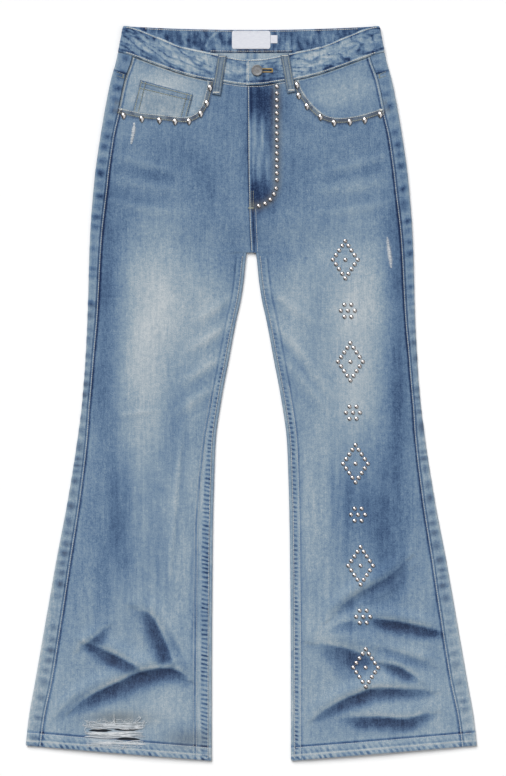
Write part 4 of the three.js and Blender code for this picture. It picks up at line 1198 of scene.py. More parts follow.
def denim(name, tones=DENIM_TONES):
    """Washed twill: the painted paleness with slubs, mottling, worn white, and grime with painted shade."""
    material, tree, shader = new_material(name, 0.9, Sheen_Weight=0.12, Specular_IOR_Level=0.25)
    tone = add_node(tree, "ShaderNodeAttribute", attribute_name="tone").outputs["Fac"]
    worn = add_node(tree, "ShaderNodeAttribute", attribute_name="worn").outputs["Fac"]
    grime = add_node(tree, "ShaderNodeAttribute", attribute_name="grime").outputs["Fac"]
    bars = add_node(tree, "ShaderNodeAttribute", attribute_name="bars").outputs["Fac"]
    rungs = add_node(tree, "ShaderNodeAttribute", attribute_name="rungs").outputs["Fac"]
    slubs = stretched_noise(tree, (0.0019, 0.026, 0.026), 3.0)
    streaks = stretched_noise(tree, (0.0048, 0.08, 0.08), 3.0)
    weft = stretched_noise(tree, (0.009, 0.0019, 0.009), 2.0)
    mottle = stretched_noise(tree, (0.0046, 0.006, 0.0046), 4.0)
    grain = stretched_noise(tree, (0.0013, 0.0017, 0.0013), 2.0)
    level = sums(tree, tone, [(slubs, 0.24), (streaks, 0.16), (weft, 0.14), (mottle, 0.36), (grain, 0.6)])
    uneven = stretched_noise(tree, (0.011, 0.011, 0.011), 1.0)
    patchy = add_node(tree, "ShaderNodeMapRange", {"Value": uneven, "From Min": 0.22, "From Max": 0.62}).outputs[0]
    # The hem's and the inseam's puckers darken in bars: painted shade.
    rows = ((bars, patchy, HEM_PITCH, 0.6, 0.66), (rungs, uneven, LADDER_PITCH, 1.4, 0.95))
    for mask, share, pitch, turn, depth in rows:
        wave = add_node(tree, "ShaderNodeMath", {0: pucker_wave(tree, pitch, turn), 1: share},
                        operation="MULTIPLY").outputs[0]
        drop = add_node(tree, "ShaderNodeMath", {0: wave, 1: mask}, operation="MULTIPLY").outputs[0]
        level = add_node(tree, "ShaderNodeMath", {0: drop, 1: -depth, 2: level}, operation="MULTIPLY_ADD").outputs[0]
    level = add_node(tree, "ShaderNodeMath", {0: level, 1: 1 / tones[-1][0]}, operation="MULTIPLY").outputs[0]
    ramp = add_node(tree, "ShaderNodeValToRGB", {"Fac": level})
    elements = ramp.color_ramp.elements
    for _ in range(len(tones) - 2):
        elements.new(0.5)
    for element, (position, colour) in zip(elements, tones):
        element.position = position / tones[-1][0]
        element.color = linear(*colour)
    # Greyed towards brown by grime and by painted shade.
    dirt_and_shade = add_node(tree, "ShaderNodeMix", {"Factor": grime, 6: ramp.outputs["Color"], 7: linear(110, 110, 106)},
                     data_type="RGBA")
    thready = sums(tree, worn, [(weft, 0.3), (grain, 0.5)])
    shown = add_node(tree, "ShaderNodeMath", {0: thready, 1: worn}, operation="MULTIPLY", use_clamp=True)
    white = add_node(tree, "ShaderNodeMix", {"Factor": shown.outputs[0], 6: dirt_and_shade.outputs[2],
                                             7: linear(226, 228, 226)}, data_type="RGBA")
    tree.links.new(white.outputs[2], shader.inputs["Base Color"])
    coordinates = add_node(tree, "ShaderNodeTexCoord").outputs["Object"]
    twill = add_node(tree, "ShaderNodeTexWave", {"Vector": coordinates, "Scale": 260.0, "Distortion": 1.2,
                                                 "Detail": 1.0}, bands_direction="DIAGONAL")
    height = sums(tree, slubs, [(mottle, 0.8), (grain, 0.9), (twill.outputs["Fac"], 0.5), (weft, 0.5)])
    bump = add_node(tree, "ShaderNodeBump", {"Height": height, "Strength": 0.55, "Distance": 0.0005})
    tree.links.new(bump.outputs[0], shader.inputs["Normal"])
    return material


def thread(name, colour, shade):
    """Twisted sewing thread."""
    material, tree, shader = new_material(name, 0.7, Sheen_Weight=0.2, Specular_IOR_Level=0.3)
    twist = stretched_noise(tree, (0.0008, 0.0008, 0.0008), 2.0)
    worn = stretched_noise(tree, (0.012, 0.012, 0.012), 2.0)
    level = sums(tree, twist, [(worn, 0.8)])
    ramp = add_node(tree, "ShaderNodeValToRGB", {"Fac": level})
    ramp.color_ramp.elements[0].position, ramp.color_ramp.elements[1].position = 0.25, 0.7
    ramp.color_ramp.elements[0].color, ramp.color_ramp.elements[1].color = linear(*shade), linear(*colour)
    tree.links.new(ramp.outputs["Color"], shader.inputs["Base Color"])
    bump = add_node(tree, "ShaderNodeBump", {"Height": twist, "Strength": 0.4, "Distance": 0.0003})
    tree.links.new(bump.outputs[0], shader.inputs["Normal"])
    return material


def metal(name, colour, shade, roughness, metallic=1.0):
    """Plated metal with faint cloudy wear."""
    material, tree, shader = new_material(name, roughness, metallic)
    cloud = stretched_noise(tree, (0.0024, 0.0024, 0.0024), 3.0)
    ramp = add_node(tree, "ShaderNodeValToRGB", {"Fac": cloud})
    ramp.color_ramp.elements[0].position, ramp.color_ramp.elements[1].position = 0.35, 0.65
    ramp.color_ramp.elements[0].color, ramp.color_ramp.elements[1].color = linear(*shade), linear(*colour)
    tree.links.new(ramp.outputs["Color"], shader.inputs["Base Color"])
    bump = add_node(tree, "ShaderNodeBump", {"Height": cloud, "Strength": 0.15, "Distance": 0.0002})
    tree.links.new(bump.outputs[0], shader.inputs["Normal"])
    return material


def satin(name):
    """A label's close white weave."""
    material, tree, shader = new_material(name, 0.5, Sheen_Weight=0.3, Specular_IOR_Level=0.4)
    rows = stretched_noise(tree, (0.006, 0.0007, 0.006), 2.0)
    ramp = add_node(tree, "ShaderNodeValToRGB", {"Fac": rows})
    ramp.color_ramp.elements[0].position, ramp.color_ramp.elements[1].position = 0.3, 0.7
    ramp.color_ramp.elements[0].color = linear(226, 229, 240)
    ramp.color_ramp.elements[1].color = linear(243, 245, 252)
    tree.links.new(ramp.outputs["Color"], shader.inputs["Base Color"])
    bump = add_node(tree, "ShaderNodeBump", {"Height": rows, "Strength": 0.3, "Distance": 0.0002})
    tree.links.new(bump.outputs[0], shader.inputs["Normal"])
    return material


def dress(piece, material, slot, *nodes, angle=48):
    """Finishes a piece: smooth shading, its material and slot, and the CAD nodes that it stands for."""
    soften(piece, angle)
    piece.data.materials.clear()
    piece.data.materials.append(material)
    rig.ride(piece, "root")
    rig.slot(piece, slot)
    if nodes:
        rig.replaces(piece, *nodes)
    return piece


def seats(pieces, x, down, below=False):
    """Height of the outermost cloth of some pieces at each place, seen from above or below."""
    graph = bpy.context.evaluated_depsgraph_get()
    trees = [BVHTree.FromObject(piece, graph) for piece in pieces]
    start, ray = (-0.05, Vector((0, 0, 1))) if below else (0.05, Vector((0, 0, -1)))
    heights = np.full(len(x), np.nan)
    for i, (at_x, at_down) in enumerate(zip(x, down)):
        origin = Vector((at_x * MM, (TOP - at_down) * MM, start))
        hits = [hit[0].z for hit in (tree.ray_cast(origin, ray) for tree in trees) if hit[0] is not None]
        if hits:
            heights[i] = (min(hits) if below else max(hits)) / MM
    return heights


CAPSULE = [(0, 0.4), (0.16, 1), (0.84, 1), (1, 0.4)]  # run along a stitch, share of its radius
THREAD_SIDES = 6


def capsules(starts, ends, radius, arch=0.12):
    """Vertices and faces of a short round thread from each start to its end."""
    starts, ends = np.asarray(starts, float), np.asarray(ends, float)
    count = len(starts)
    radius = np.broadcast_to(radius, count)[:, None]
    along = ends - starts
    along /= np.linalg.norm(along, axis=1)[:, None]
    flat = np.column_stack([-along[:, 1], along[:, 0], np.zeros(count)])
    flat /= np.linalg.norm(flat, axis=1)[:, None]
    lift = np.cross(along, flat)
    rings = []
    for run, share in CAPSULE:
        centre = mix(starts, ends, run) + np.array([0, 0, arch * math.sin(math.pi * run)])
        for k in range(THREAD_SIDES):
            angle = 2 * math.pi * k / THREAD_SIDES
            rings.append(centre + radius * share * (math.cos(angle) * flat + math.sin(angle) * lift))
    vertices = np.stack(rings, axis=1).reshape(-1, 3)
    template = []
    for ring in range(len(CAPSULE) - 1):
        low = ring * THREAD_SIDES
        for k in range(THREAD_SIDES):
            after = (k + 1) % THREAD_SIDES
            template.append((low + k, low + after, low + THREAD_SIDES + after, low + THREAD_SIDES + k))
    last = (len(CAPSULE) - 1) * THREAD_SIDES
    caps = [tuple(range(THREAD_SIDES - 1, -1, -1)), tuple(range(last, last + THREAD_SIDES))]
    size = len(CAPSULE) * THREAD_SIDES
    faces = []
    for i in range(count):
        faces += [tuple(corner + i * size for corner in face) for face in template + caps]
    return vertices, faces


def joined(name, parts):
    """One mesh from several (vertices, faces) lists."""
    vertices, faces, start = [], [], 0
    for points, polygons in parts:
        vertices.append(points)
        faces += [tuple(corner + start for corner in face) for face in polygons]
        start += len(points)
    return new_mesh(name, np.vstack(vertices), faces)


def stitch_ends(path, pitch, length):
    """Where each stitch of a seam starts and ends, along a path of (x, down)."""
    path = np.asarray(path, float)
    steps = np.hypot(*np.diff(path, axis=0).T)
    run = np.concatenate([[0], np.cumsum(steps)])
    first = np.arange(pitch * 0.2, run[-1] - length, pitch)

    def place(at):
        return np.column_stack([np.interp(at, run, path[:, 0]), np.interp(at, run, path[:, 1])])

    return place(first), place(first + length)


def laid_threads(starts, ends, on, radius, below=False, sink=0.35):
    """Capsules between (x, down) places, lying on the given pieces."""
    places_2d = np.vstack([starts, ends])
    heights = seats(on, places_2d[:, 0], places_2d[:, 1], below)
    sign = -1 if below else 1
    heights = heights + sign * radius * sink
    points = np.column_stack([places_2d[:, 0], TOP - places_2d[:, 1], heights])
    first, last = points[: len(starts)], points[len(starts):]
    real = ~np.isnan(first[:, 2] + last[:, 2]) & (np.abs(first[:, 2] - last[:, 2]) < 1.5)
    return capsules(first[real], last[real], radius, arch=0 if below else 0.12)


def seam(paths, on, radius=0.44, pitch=3.4, length=2.9, below=False):
    sink = -0.6 if below else 0.3
    return [laid_threads(*stitch_ends(path, pitch, length), on, radius, below, sink) for path in paths]


def tack(x, down, length, width, angle=0.0, on=(), radius=0.36, below=False, pitch=0.62):
    """A bar tack: close threads across a short line."""
    run = np.arange(-length / 2, length / 2, pitch)
    c, s = math.cos(angle), math.sin(angle)
    starts = np.column_stack([x + run * c - width / 2 * s, down + run * s + width / 2 * c])
    ends = np.column_stack([x + (run + pitch) * c + width / 2 * s, down + (run + pitch) * s - width / 2 * c])
    return laid_threads(starts, ends, on, radius, below, sink=0.8)


def both_sides(path_fn):
    return [[(side * across, down) for across, down in path_fn(side)] for side in (-1, 1)]


def hem_run(above):
    def path(side):
        rows = []
        for share in spread(0.012, 0.985, 0.02):
            down = LENGTH - 20
            for _ in range(4):
                across = mix(inner_width(down), outer_width(down), share)
                down = hem_down(across, down) - above
            rows.append((float(across), float(down)))
        return rows
    return path


def lathe_studs(name, at, on, profile, outline, segments=12):
    """Domes on the cloth at places of (x, down); outline gives (x, y) factors round the rim."""
    at = np.asarray(at, float)
    heights = seats(on, at[:, 0], at[:, 1])
    angles = 2 * np.pi * np.arange(segments) / segments
    rim = np.array([outline(angle) for angle in angles])
    parts = []
    for (x, down), base in zip(at, heights):
        vertices = []
        for share, rise in profile:
            ring = np.column_stack([x + rim[:, 0] * share, TOP - down + rim[:, 1] * share,
                                    np.full(segments, base + rise)])
            vertices.append(ring)
        vertices = np.vstack(vertices + [[[x, TOP - down, base + profile[-1][1]]],
                                         [[x, TOP - down, base + profile[0][1]]]])
        faces = []
        for k in range(segments):
            after = (k + 1) % segments
            for ring in range(len(profile) - 1):
                low = ring * segments
                faces.append((low + k, low + after, low + segments + after, low + segments + k))
            top = (len(profile) - 1) * segments
            faces.append((top + k, top + after, len(vertices) - 2))
            faces.append((after, k, len(vertices) - 1))
        parts.append((vertices, faces))
    return joined(name, parts)


def dome_profile(height, rings=6, sink=0.5):
    """Rings of a dome as (share of the rim, height)."""
    turns = np.linspace(0, math.pi / 2 * 0.9, rings)
    return [(1, -sink)] + [(math.cos(turn), height * math.sin(turn)) for turn in turns]


def round_rim(angle):
    return STUD["radius"] * math.cos(angle), STUD["radius"] * math.sin(angle)


def drop_rim(angle):
    """A drop with its round end towards the waist and its point towards the hem."""
    up = math.sin(angle)
    width = DROP["width"] * math.cos(angle) * (1 if up > 0 else 1 - 0.42 * up * up)
    return width, DROP["length"] * up * (0.8 if up > 0 else 1.12)


def fly_stud_places():
    across, first = FLY_STUDS["across"], FLY_STUDS["first"]
    places_2d = [(across, first + FLY_STUDS["pitch"] * i) for i in range(FLY_STUDS["count"])]
    for degrees in FLY_TURN["angles"]:
        angle = math.radians(degrees)
        x = mix(FLY_TURN["across"], across, math.cos(angle))
        places_2d.append((x, FLY_TURN["down"] + FLY_TURN["deep"] * math.sin(angle)))
    return places_2d


DIAMOND = [(0, -1), (1, 0), (0, 1), (-1, 0), (0, -1)]


def leg_stud_places():
    """Diamonds with a centre stud, and rosettes between them."""
    places_2d = []

    def centre_at(down):
        return MOTIFS["across"] + MOTIFS["slant"] * (down - MOTIFS["top"])

    for i in range(MOTIFS["count"]):
        down = MOTIFS["top"] + MOTIFS["pitch"] * i
        places_2d.append((centre_at(down), down))
        for start, end in zip(DIAMOND, DIAMOND[1:]):
            for run in np.arange(MOTIFS["side"]) / MOTIFS["side"]:
                places_2d.append((centre_at(down) + mix(start[0], end[0], run) * MOTIFS["half"],
                                  down + mix(start[1], end[1], run) * MOTIFS["tall"]))
    for i in range(MOTIFS["count"] - 1):
        down = MOTIFS["top"] + MOTIFS["pitch"] * (i + 0.5)
        places_2d.append((centre_at(down), down))
        for k in range(ROSETTE["petals"]):
            angle = 2 * math.pi * k / ROSETTE["petals"]
            places_2d.append((centre_at(down) + ROSETTE["radius"] * math.cos(angle),
                              down + ROSETTE["radius"] * math.sin(angle)))
    return places_2d


def strand(points, radius, sides=4):
    """Vertices and faces of a thin thread through the points."""
    points = np.asarray(points, float)
    along = np.gradient(points, axis=0)
    along /= np.linalg.norm(along, axis=1)[:, None]
    flat = np.column_stack([-along[:, 1], along[:, 0], np.zeros(len(points))])
    flat /= np.maximum(np.linalg.norm(flat, axis=1), 1e-6)[:, None]
    lift = np.cross(along, flat)
    thin = radius * np.minimum(1, 0.3 + 3 * np.sin(np.pi * np.linspace(0.02, 0.98, len(points))))[:, None]
    angles = [2 * math.pi * k / sides for k in range(sides)]
    rings = [points + thin * (math.cos(a) * flat + math.sin(a) * lift) for a in angles]
    vertices = np.stack(rings, axis=1).reshape(-1, 3)
    faces = []
    for i in range(len(points) - 1):
        for k in range(sides):
            after = (k + 1) % sides
            faces.append((i * sides + k, i * sides + after, (i + 1) * sides + after, (i + 1) * sides + k))
    last = (len(points) - 1) * sides
    faces += [tuple(range(sides - 1, -1, -1)), tuple(range(last, last + sides))]
    return vertices, faces


BUNDLES = [(1047, 1055.5, 15), (1060, 1068.5, 17), (1074.5, 1081, 10)]  # from, to, threads
LOOSE = [
    ([(205, 1047), (205.5, 1041), (206, 1034)], 0.5), ([(203, 1048), (207, 1044), (204, 1040)], 0.4),
    ([(178, 1049), (171, 1044), (166, 1039), (169, 1036)], 0.45), ([(184, 1050), (176, 1046), (172, 1041)], 0.4),
    ([(188, 1076), (190, 1081), (194, 1087)], 0.4), ([(170, 1053), (163, 1049), (160, 1044)], 0.35),
    ([(246, 1052), (250, 1056), (248, 1062)], 0.35), ([(232, 1048), (238, 1044), (243, 1046)], 0.35),
]


def rip_threads(front):
    """The white weft left across the rip, in bundles, with frayed ends and loose threads."""
    rng = np.random.default_rng(19)
    height = float(np.nanmax(seats([front], [-200.0, -215.0, -185.0], [1052.0, 1064.0, 1078.0])))
    parts = []
    run = np.linspace(0, 1, 15)
    for low, high, count in BUNDLES:
        for _ in range(count):
            down = rng.uniform(low, high) + rng.uniform(0.6, 2.1) * np.sin(run * rng.uniform(2, 8) + rng.uniform(0, 6))
            start, end = rng.triangular(206, 248, 256), rng.triangular(154, 164, 196)
            down = down + rng.normal(0, 1.1) * (run - 0.5)
            bow = 0.35 + 0.5 * np.sin(np.pi * run) * rng.uniform(0.2, 1)
            points = np.column_stack([-mix(start, end, run), TOP - down, height + bow])
            parts.append(strand(points, rng.uniform(0.28, 0.52)))
    turn = np.linspace(0, 1, 5)
    for _ in range(190):
        across, down = rng.uniform(158, 252), rng.choice([1045, 1049, 1081]) + rng.normal(0, 2.2)
        angle, size = rng.uniform(0, 2 * math.pi), rng.uniform(3, 7)
        curl = angle + rng.uniform(-1.4, 1.4) * turn
        points = np.column_stack([-(across + size * turn * np.cos(curl)), TOP - down + size * turn * np.sin(curl) * 0.8,
                                  height + 0.2 + 0.7 * turn])
        parts.append(strand(points, rng.uniform(0.16, 0.3), 3))
    for path, radius in LOOSE:
        path = rounded_path(path, 4)
        points = np.column_stack([-path[:, 0], TOP - path[:, 1], np.full(len(path), height + 1.1)])
        parts.append(strand(points, radius))
    return joined("rip_threads", parts)


def abrasion_threads(side, path, front):
    """Short white weft threads across a worn place."""
    rng = np.random.default_rng(29 + side)
    points = rounded_path(path, 14)
    reach = 3.2 * taper(np.linspace(0, 1, len(points)))
    starts = np.column_stack([side * (points[:, 0] - reach * rng.uniform(0.5, 1, len(points))), points[:, 1]])
    ends = np.column_stack([side * (points[:, 0] + reach * rng.uniform(0.5, 1, len(points))),
                            points[:, 1] + rng.normal(0, 0.5, len(points))])
    return laid_threads(starts, ends, [front], 0.5)


DENIM = denim("washed_denim")
PALE_DENIM = denim("worn_denim")
CREAM_THREAD = thread("cream_thread", (240, 241, 236), (202, 204, 198))
PALE_THREAD = thread("pale_thread", (220, 224, 222), (172, 180, 186))
OLIVE_THREAD = thread("olive_thread", (182, 187, 172), (122, 127, 114))
MUSTARD_THREAD = thread("mustard_thread", (196, 168, 108), (128, 108, 66))
WHITE_THREAD = thread("white_thread", (248, 250, 252), (196, 205, 212))
STUD_METAL = metal("stud_metal", (244, 240, 238), (206, 196, 192), 0.36)
DROP_METAL = metal("drop_metal", (254, 251, 249), (222, 214, 210), 0.3)
BUTTON_METAL = metal("button_metal", (146, 147, 150), (124, 123, 122), 0.55, 0.35)
BRASS = metal("zip_brass", (190, 166, 112), (140, 118, 74), 0.35)
SATIN = satin("label_satin")


def dress_cloth(piece, side, tone, node, worn=0.0, grime=0.0, bars=0.0, rungs=0.0, material=DENIM, slot="denim"):
    marks = {"tone": tone, "worn": worn, "grime": grime, "bars": bars, "rungs": rungs}
    for attribute, values in marks.items():
        paint(piece, attribute, values)
    return dress(piece, material, slot, node)


def under_tone(side, across, down):
    """The underside's wash: a faded seat and thighs, with painted shade along the creases of the hidden side."""
    tone = wash_along(down) - 0.04 + 0.16 * np.exp(-(((across - 118) / 62) ** 2) - ((down - 185) / 80) ** 2)
    tone = tone + 0.2 * np.exp(-(((across - 140) / 60) ** 2) - ((down - 430) / 150) ** 2)
    streak = noise(across / 8, down / 110, 91 + side) + 0.7 * noise(across / 3.4, down / 60, 93 + side)
    tone = tone + 0.08 * (streak - 0.85)
    # Painted shade along the hidden side's creases.
    for row in CREASES:
        if on_side(row, -side):
            _, dark, width, _, _, path = row
            off, run = beside(path, across, down)
            tone = tone - 0.5 * dark * bell(np.where(off > 0, off * 3, off), width) * taper(run)
    return tone


def dress_back(piece, side):
    across, down, height = places(piece, side)
    low = seat_lift(down) + WALL / 2
    beyond = across - outseam(down)
    above_hem = hem_down(across, down) - down
    strip = wash_along(down) + 0.12 + 0.1 * (noise(down / 37, across / 9, 95 + side) - 0.5)
    # Painted shade in the outseam's puckers and a painted shadow line along the seam.
    strip = strip - 0.5 * outseam_blobs(side, beyond, down) - 0.35 * bell(beyond, 0.9)
    strip = strip + 0.14 * bell(outer_width(down) - across, 3)
    near_inseam = across < inner_width(down) + 9
    felled = wash_along(down) + 0.08 + 0.2 * (noise(down / 19, across / 5, 97 + side) - 0.5)
    top_tone = np.where(near_inseam, felled, strip)
    seam_line = yoke_seam(("strip", 0), across, 0)
    top_tone = top_tone - 0.35 * bell(down - seam_line, 1.4) * (1 - near_inseam)
    bottom = under_tone(side, across, down) - 0.4 * bell(down - yoke_seam(("flat", 0), across, 0), 1.4)
    rim = smooth(low + 0.2, low + 2.2, height)
    tone = mix(bottom, top_tone, rim)
    # A painted pale line by the hem's stitches and a painted shadow line along its top edge.
    tone = tone + 0.25 * bell(above_hem - 7.6, 1.3) - 0.4 * bell(above_hem - 20.6, 1.1)
    # Painted shade inside the rip: the cloth seen through its slots is dark and greyed.
    shade_through_rip = (side < 0) * (np.abs(down - 1065) < 24) * (np.abs(across - 206) < 48)
    shade_through_rip = shade_through_rip * (height > low) * (height < low + 1.2)
    tone = np.where(shade_through_rip, 0.12, tone)
    inside = (height > low + 0.1) * (height < low + 1) * (down < 120)
    centre_seam = 0.4 * bell(across - 5.7, 2)
    tone = np.where(inside, 0.88 + 0.1 * (noise(across / 9, down / 9, 99) - 0.5) - centre_seam, tone)
    node = piece.name.replace("_cloth", "")
    # Grime and painted shade round the rip, and the outseam's puckers greyed with painted shade.
    grime = np.maximum(0.6 * rip_grime_and_shade(side, across, down), 0.3 * outseam_blobs(side, beyond, down) * (down > 420))
    return dress_cloth(piece, side, tone, node, grime=np.where(shade_through_rip, 0.6, grime * rim),
                       bars=hem_bars(side, across, above_hem))


cloth = {}
for side in (-1, 1):
    name = SIDE_NAME[side]
    front = front_panel(side)
    across, down, height = places(front, side)
    tone = front_wash_and_shade(side, across, down) + seam_shade_and_highlights(side, across, down)
    rungs = inseam_ladder(side, across - front_inner(side, down, down > CROTCH), down)
    cloth["front", side] = dress_cloth(
        front, side, tone, f"front_{name}", worn_white(side, across, down),
        np.maximum(rip_grime_and_shade(side, across, down), crease_shade_grey(side, across, down)),
        hem_bars(side, across, hem_down(across, down) - down), rungs,
    )
    cloth["back", side] = dress_back(back_panel(side), side)
    cloth["yoke", side] = dress_back(yoke(side), side)
    drop = (2 if side < 0 else 1) * LAYER
    rows = OPENING_RIGHT if side < 0 else OPENING_LEFT
    facing = facing_wall(side, drop, opening_outline(side, rows, FACING["under"]), f"facing_{name}_cloth")
    across, down, height = places(facing, side)
    shade = 0.16 * (noise(across / 22, down / 16, 101 + side) - 0.5) - 0.08
    shade = shade + 0.26 * np.exp(-(((across - 135) / 42) ** 2) - ((down - 100) / 24) ** 2)
    # A painted highlight under the waistband's seam with a painted shadow line below it.
    shade = shade + 0.2 * bell(down - band_seam(across) - 1.6, 1.4) - 0.2 * bell(down - band_seam(across) - 4, 1.2)
    from_outer = outseam(down) - across
    # A painted highlight along the outseam's stitches with a painted shadow line beside them.
    shade = shade + 0.3 * bell(from_outer - 2.4, 1.2) - 0.5 * bell(from_outer - 5, 1.4)
    cloth["facing", side] = dress_cloth(facing, side, (0.84 if side < 0 else 0.66) + shade,
                                        f"pocket_facing_{name}", material=PALE_DENIM, slot="denim_pale")
    pocket = flat_shell(f"back_pocket_{name}_cloth", lambda u, v, s=side: back_pocket_place(s, u, v), 0.25, 0.95,
                        0.02)
    across, down, height = places(pocket, side)
    cloth["pocket", side] = dress_cloth(pocket, side, under_tone(side, across, down) + 0.06, f"back_pocket_{name}")
    x = side * LOOP["side_across"]
    loop = flat_shell(f"loop_side_{name}_cloth", lambda u, v, s=x: loop_place(s, LOOP["side_top"], u, v), 0.25, 0.95,
                      0.06)
    cloth["side loop", side] = dress_cloth(loop, side, 0.4, f"belt_loop_side_{name}")
    loop = front_loop(side, f"loop_front_{name}_cloth", LOOP_RIGHT if side < 0 else LOOP_LEFT)
    across, down, height = places(loop, side)
    stripes_and_edge_shade = 0.2 * (noise(across / 2.2, down / 20, 103) - 0.5)
    off = np.abs(beside(LOOP_RIGHT if side < 0 else LOOP_LEFT, across, down)[0])
    # Paler in the middle, with painted shadow lines by the stitch rows and painted shade at the loop's edges.
    stripes_and_edge_shade = stripes_and_edge_shade + 0.16 - 0.3 * bell(off - 2.6, 1) - 0.42 * smooth(4.6, 6, off)
    cloth["loop", side] = dress_cloth(loop, side, 0.56 + stripes_and_edge_shade, f"belt_loop_front_{name}", grime=0.32)

coin = facing_wall(-1, LAYER, [(-across, down) for across, down in COIN_POCKET], "coin_pocket_cloth")
across, down, height = places(coin, -1)
coin_tone = 0.86 + 0.2 * (noise(across / 16, down / 12, 105) - 0.5)
for start, end in zip(COIN_POCKET[3:] + COIN_POCKET[:2], COIN_POCKET[:3]):
    off = np.abs(beside([start, end], across, down)[0])
    # Painted shadow lines along the pocket's edge and beside its stitch rows.
    coin_tone = coin_tone - 0.5 * bell(off, 1.3) - 0.24 * bell(off - 4.6, 1.4) - 0.36 * bell(off - 8.6, 1.3)
dress_cloth(coin, -1, coin_tone, "coin_pocket",
            grime=0.12, material=PALE_DENIM, slot="denim_pale")
band = waistband()
dress_cloth(band, 1, band_tone(band), "waistband")
back_loop = flat_shell("loop_back_cloth", lambda u, v: loop_place(0, LOOP["back_top"], u, v), 0.25, 0.95, 0.06)
dress_cloth(back_loop, 1, 0.4, "belt_loop_back")
middle = HIP_LEVEL - 2 * LAYER - WALL / 2
shield = flat_shell("fly_shield_cloth", lambda u, v: rounded_place(SHIELD, u, v), middle, WALL, 0.03)
dress_cloth(shield, 1, 0.3, "fly_shield")

# The blank label and size tab.
label_low = BAND["back"] + BAND["wall"] / 2 + GAP
for name, plate in (("waist_label", LABEL), ("size_tab", SIZE_TAB)):
    woven = flat_shell(f"{name}_satin", lambda u, v, p=plate: rounded_place(p, u, v), label_low, plate["wall"], 0.025)
    dress(woven, SATIN, "label_satin", name)


fronts = [cloth["front", -1], cloth["front", 1]]
backs = [cloth["back", -1], cloth["back", 1]]
yokes = [cloth["yoke", -1], cloth["yoke", 1]]
outside = fronts + backs + yokes + [band]


def outseam_run(side):
    return [(float(outseam(down)) - 2.6, down) for down in spread(50, 1083, 6)]


def inseam_run(off):
    return lambda side: [(float(inner_width(down)) + INSEAM_WRAP + off, down) for down in spread(346, 1101, 6)]


def ladder_run(side):
    rows = [(inner_width(down) + INSEAM_WRAP + ladder_row(side, down), down) for down in spread(540, 1101, 6)]
    return [(float(across), down) for across, down in rows]


def opening_run(out):
    def path(side):
        outline = opening_outline(side, OPENING_RIGHT if side < 0 else OPENING_LEFT, out)[:-2]
        return [(side * x, down) for x, down in outline]
    return path


def band_run(key, off, reach=188):
    line = band_edge if key == 0 else band_seam
    return [(float(x), float(line(abs(x))) + off) for x in spread(-reach, reach, 5)]


def inner_band_run(off, reach):
    dip = BACK_BAND_EDGE
    return [(float(x), dip["side"] + dip["dip"] * (1 - (x / band_reach(0)) ** 2) + off) for x in spread(-reach, reach, 6)]


def yoke_strip_run(off):
    def path(side):
        low, high = outseam(YOKE["outseam"]) + 2, outer_width(YOKE["fold"]) - 2
        return [(float(x), mix(YOKE["outseam"], YOKE["fold"], (x - low) / (high - low)) + off)
                for x in spread(low, high, 5)]
    return path


def seam_piece(name, paths_and_options, material=CREAM_THREAD):
    parts = [part for paths, options in paths_and_options for part in seam(paths, **options)]
    return dress(joined(name, parts), material, "stitching")


seam_piece("stitches_legs", [
    (both_sides(outseam_run), {"on": fronts + [cloth["facing", s] for s in (-1, 1)], "radius": 0.52}),
    (both_sides(inseam_run(1.2)), {"on": fronts, "radius": 0.52}),
    (both_sides(ladder_run), {"on": fronts, "radius": 0.3}),
    ([[(-across - 4.5, down) for across, down in ladder_run(-1)]], {"on": fronts, "radius": 0.24}),
    (both_sides(hem_run(19)), {"on": fronts + backs, "radius": 0.42}),
    (both_sides(hem_run(8.2)), {"on": fronts + backs, "radius": 0.36}),
], PALE_THREAD)
FLAP_ROWS = [[(float(off - flap_past(down)), down) for down in spread(93, 339, 6)] for off in (0.9,)]
RISE_ROWS = [[(float(off - flap_past(down)), down) for down in spread(275, 340, 6)] for off in (9.5,)]
FLY_END = [[(x, down) for down in (248, 262, 275)] for x in (-0.5, 3)]
seam_piece("stitches_front", [
    (both_sides(opening_run(2)), {"on": fronts}), (FLAP_ROWS, {"on": fronts}), (RISE_ROWS, {"on": fronts, "radius": 0.28}),
    ([[(-x, d) for x, d in band_run(1, 2.2)]], {"on": fronts, "radius": 0.42}),
])
seam_piece("stitches_waistband", [
    ([band_run(0, 2.2), band_run(1, -2.4)], {"on": [band], "radius": 0.58}),
    ([[(-4.6, 54), (-4.2, 88)]], {"on": [band]}),
    ([inner_band_run(2.2, 160), inner_band_run(32, 62)], {"on": [band], "radius": 0.42}),
])
COIN_TOP, COIN_INNER, COIN_LOW, COIN_OUTER = (np.array((-x, down)) for x, down in COIN_POCKET)
INNER_RUN, OUTER_RUN = COIN_LOW - COIN_INNER, COIN_OUTER - COIN_TOP
TOP_RUN = COIN_INNER - COIN_TOP
coin_rows = [[COIN_TOP + OUTER_RUN * t + TOP_RUN * 0.02, COIN_INNER + INNER_RUN * t - TOP_RUN * 0.02] for t in
             (0.05, 0.2)]
coin_rows += [[COIN_TOP + TOP_RUN * t, COIN_OUTER + TOP_RUN * t] for t in (0.025, 0.105)]
coin_rows += [[COIN_INNER - TOP_RUN * t, COIN_LOW - TOP_RUN * t] for t in (0.025, 0.105)]
seam_piece("stitches_pockets", [
    (coin_rows, {"on": [coin], "radius": 0.62}), (both_sides(opening_run(7.6)), {"on": fronts, "radius": 0.6}),
    (FLY_END, {"on": fronts, "radius": 0.36}),
    (both_sides(yoke_strip_run(2.2)) + both_sides(yoke_strip_run(8)), {"on": yokes + backs, "radius": 0.36}),
], OLIVE_THREAD)


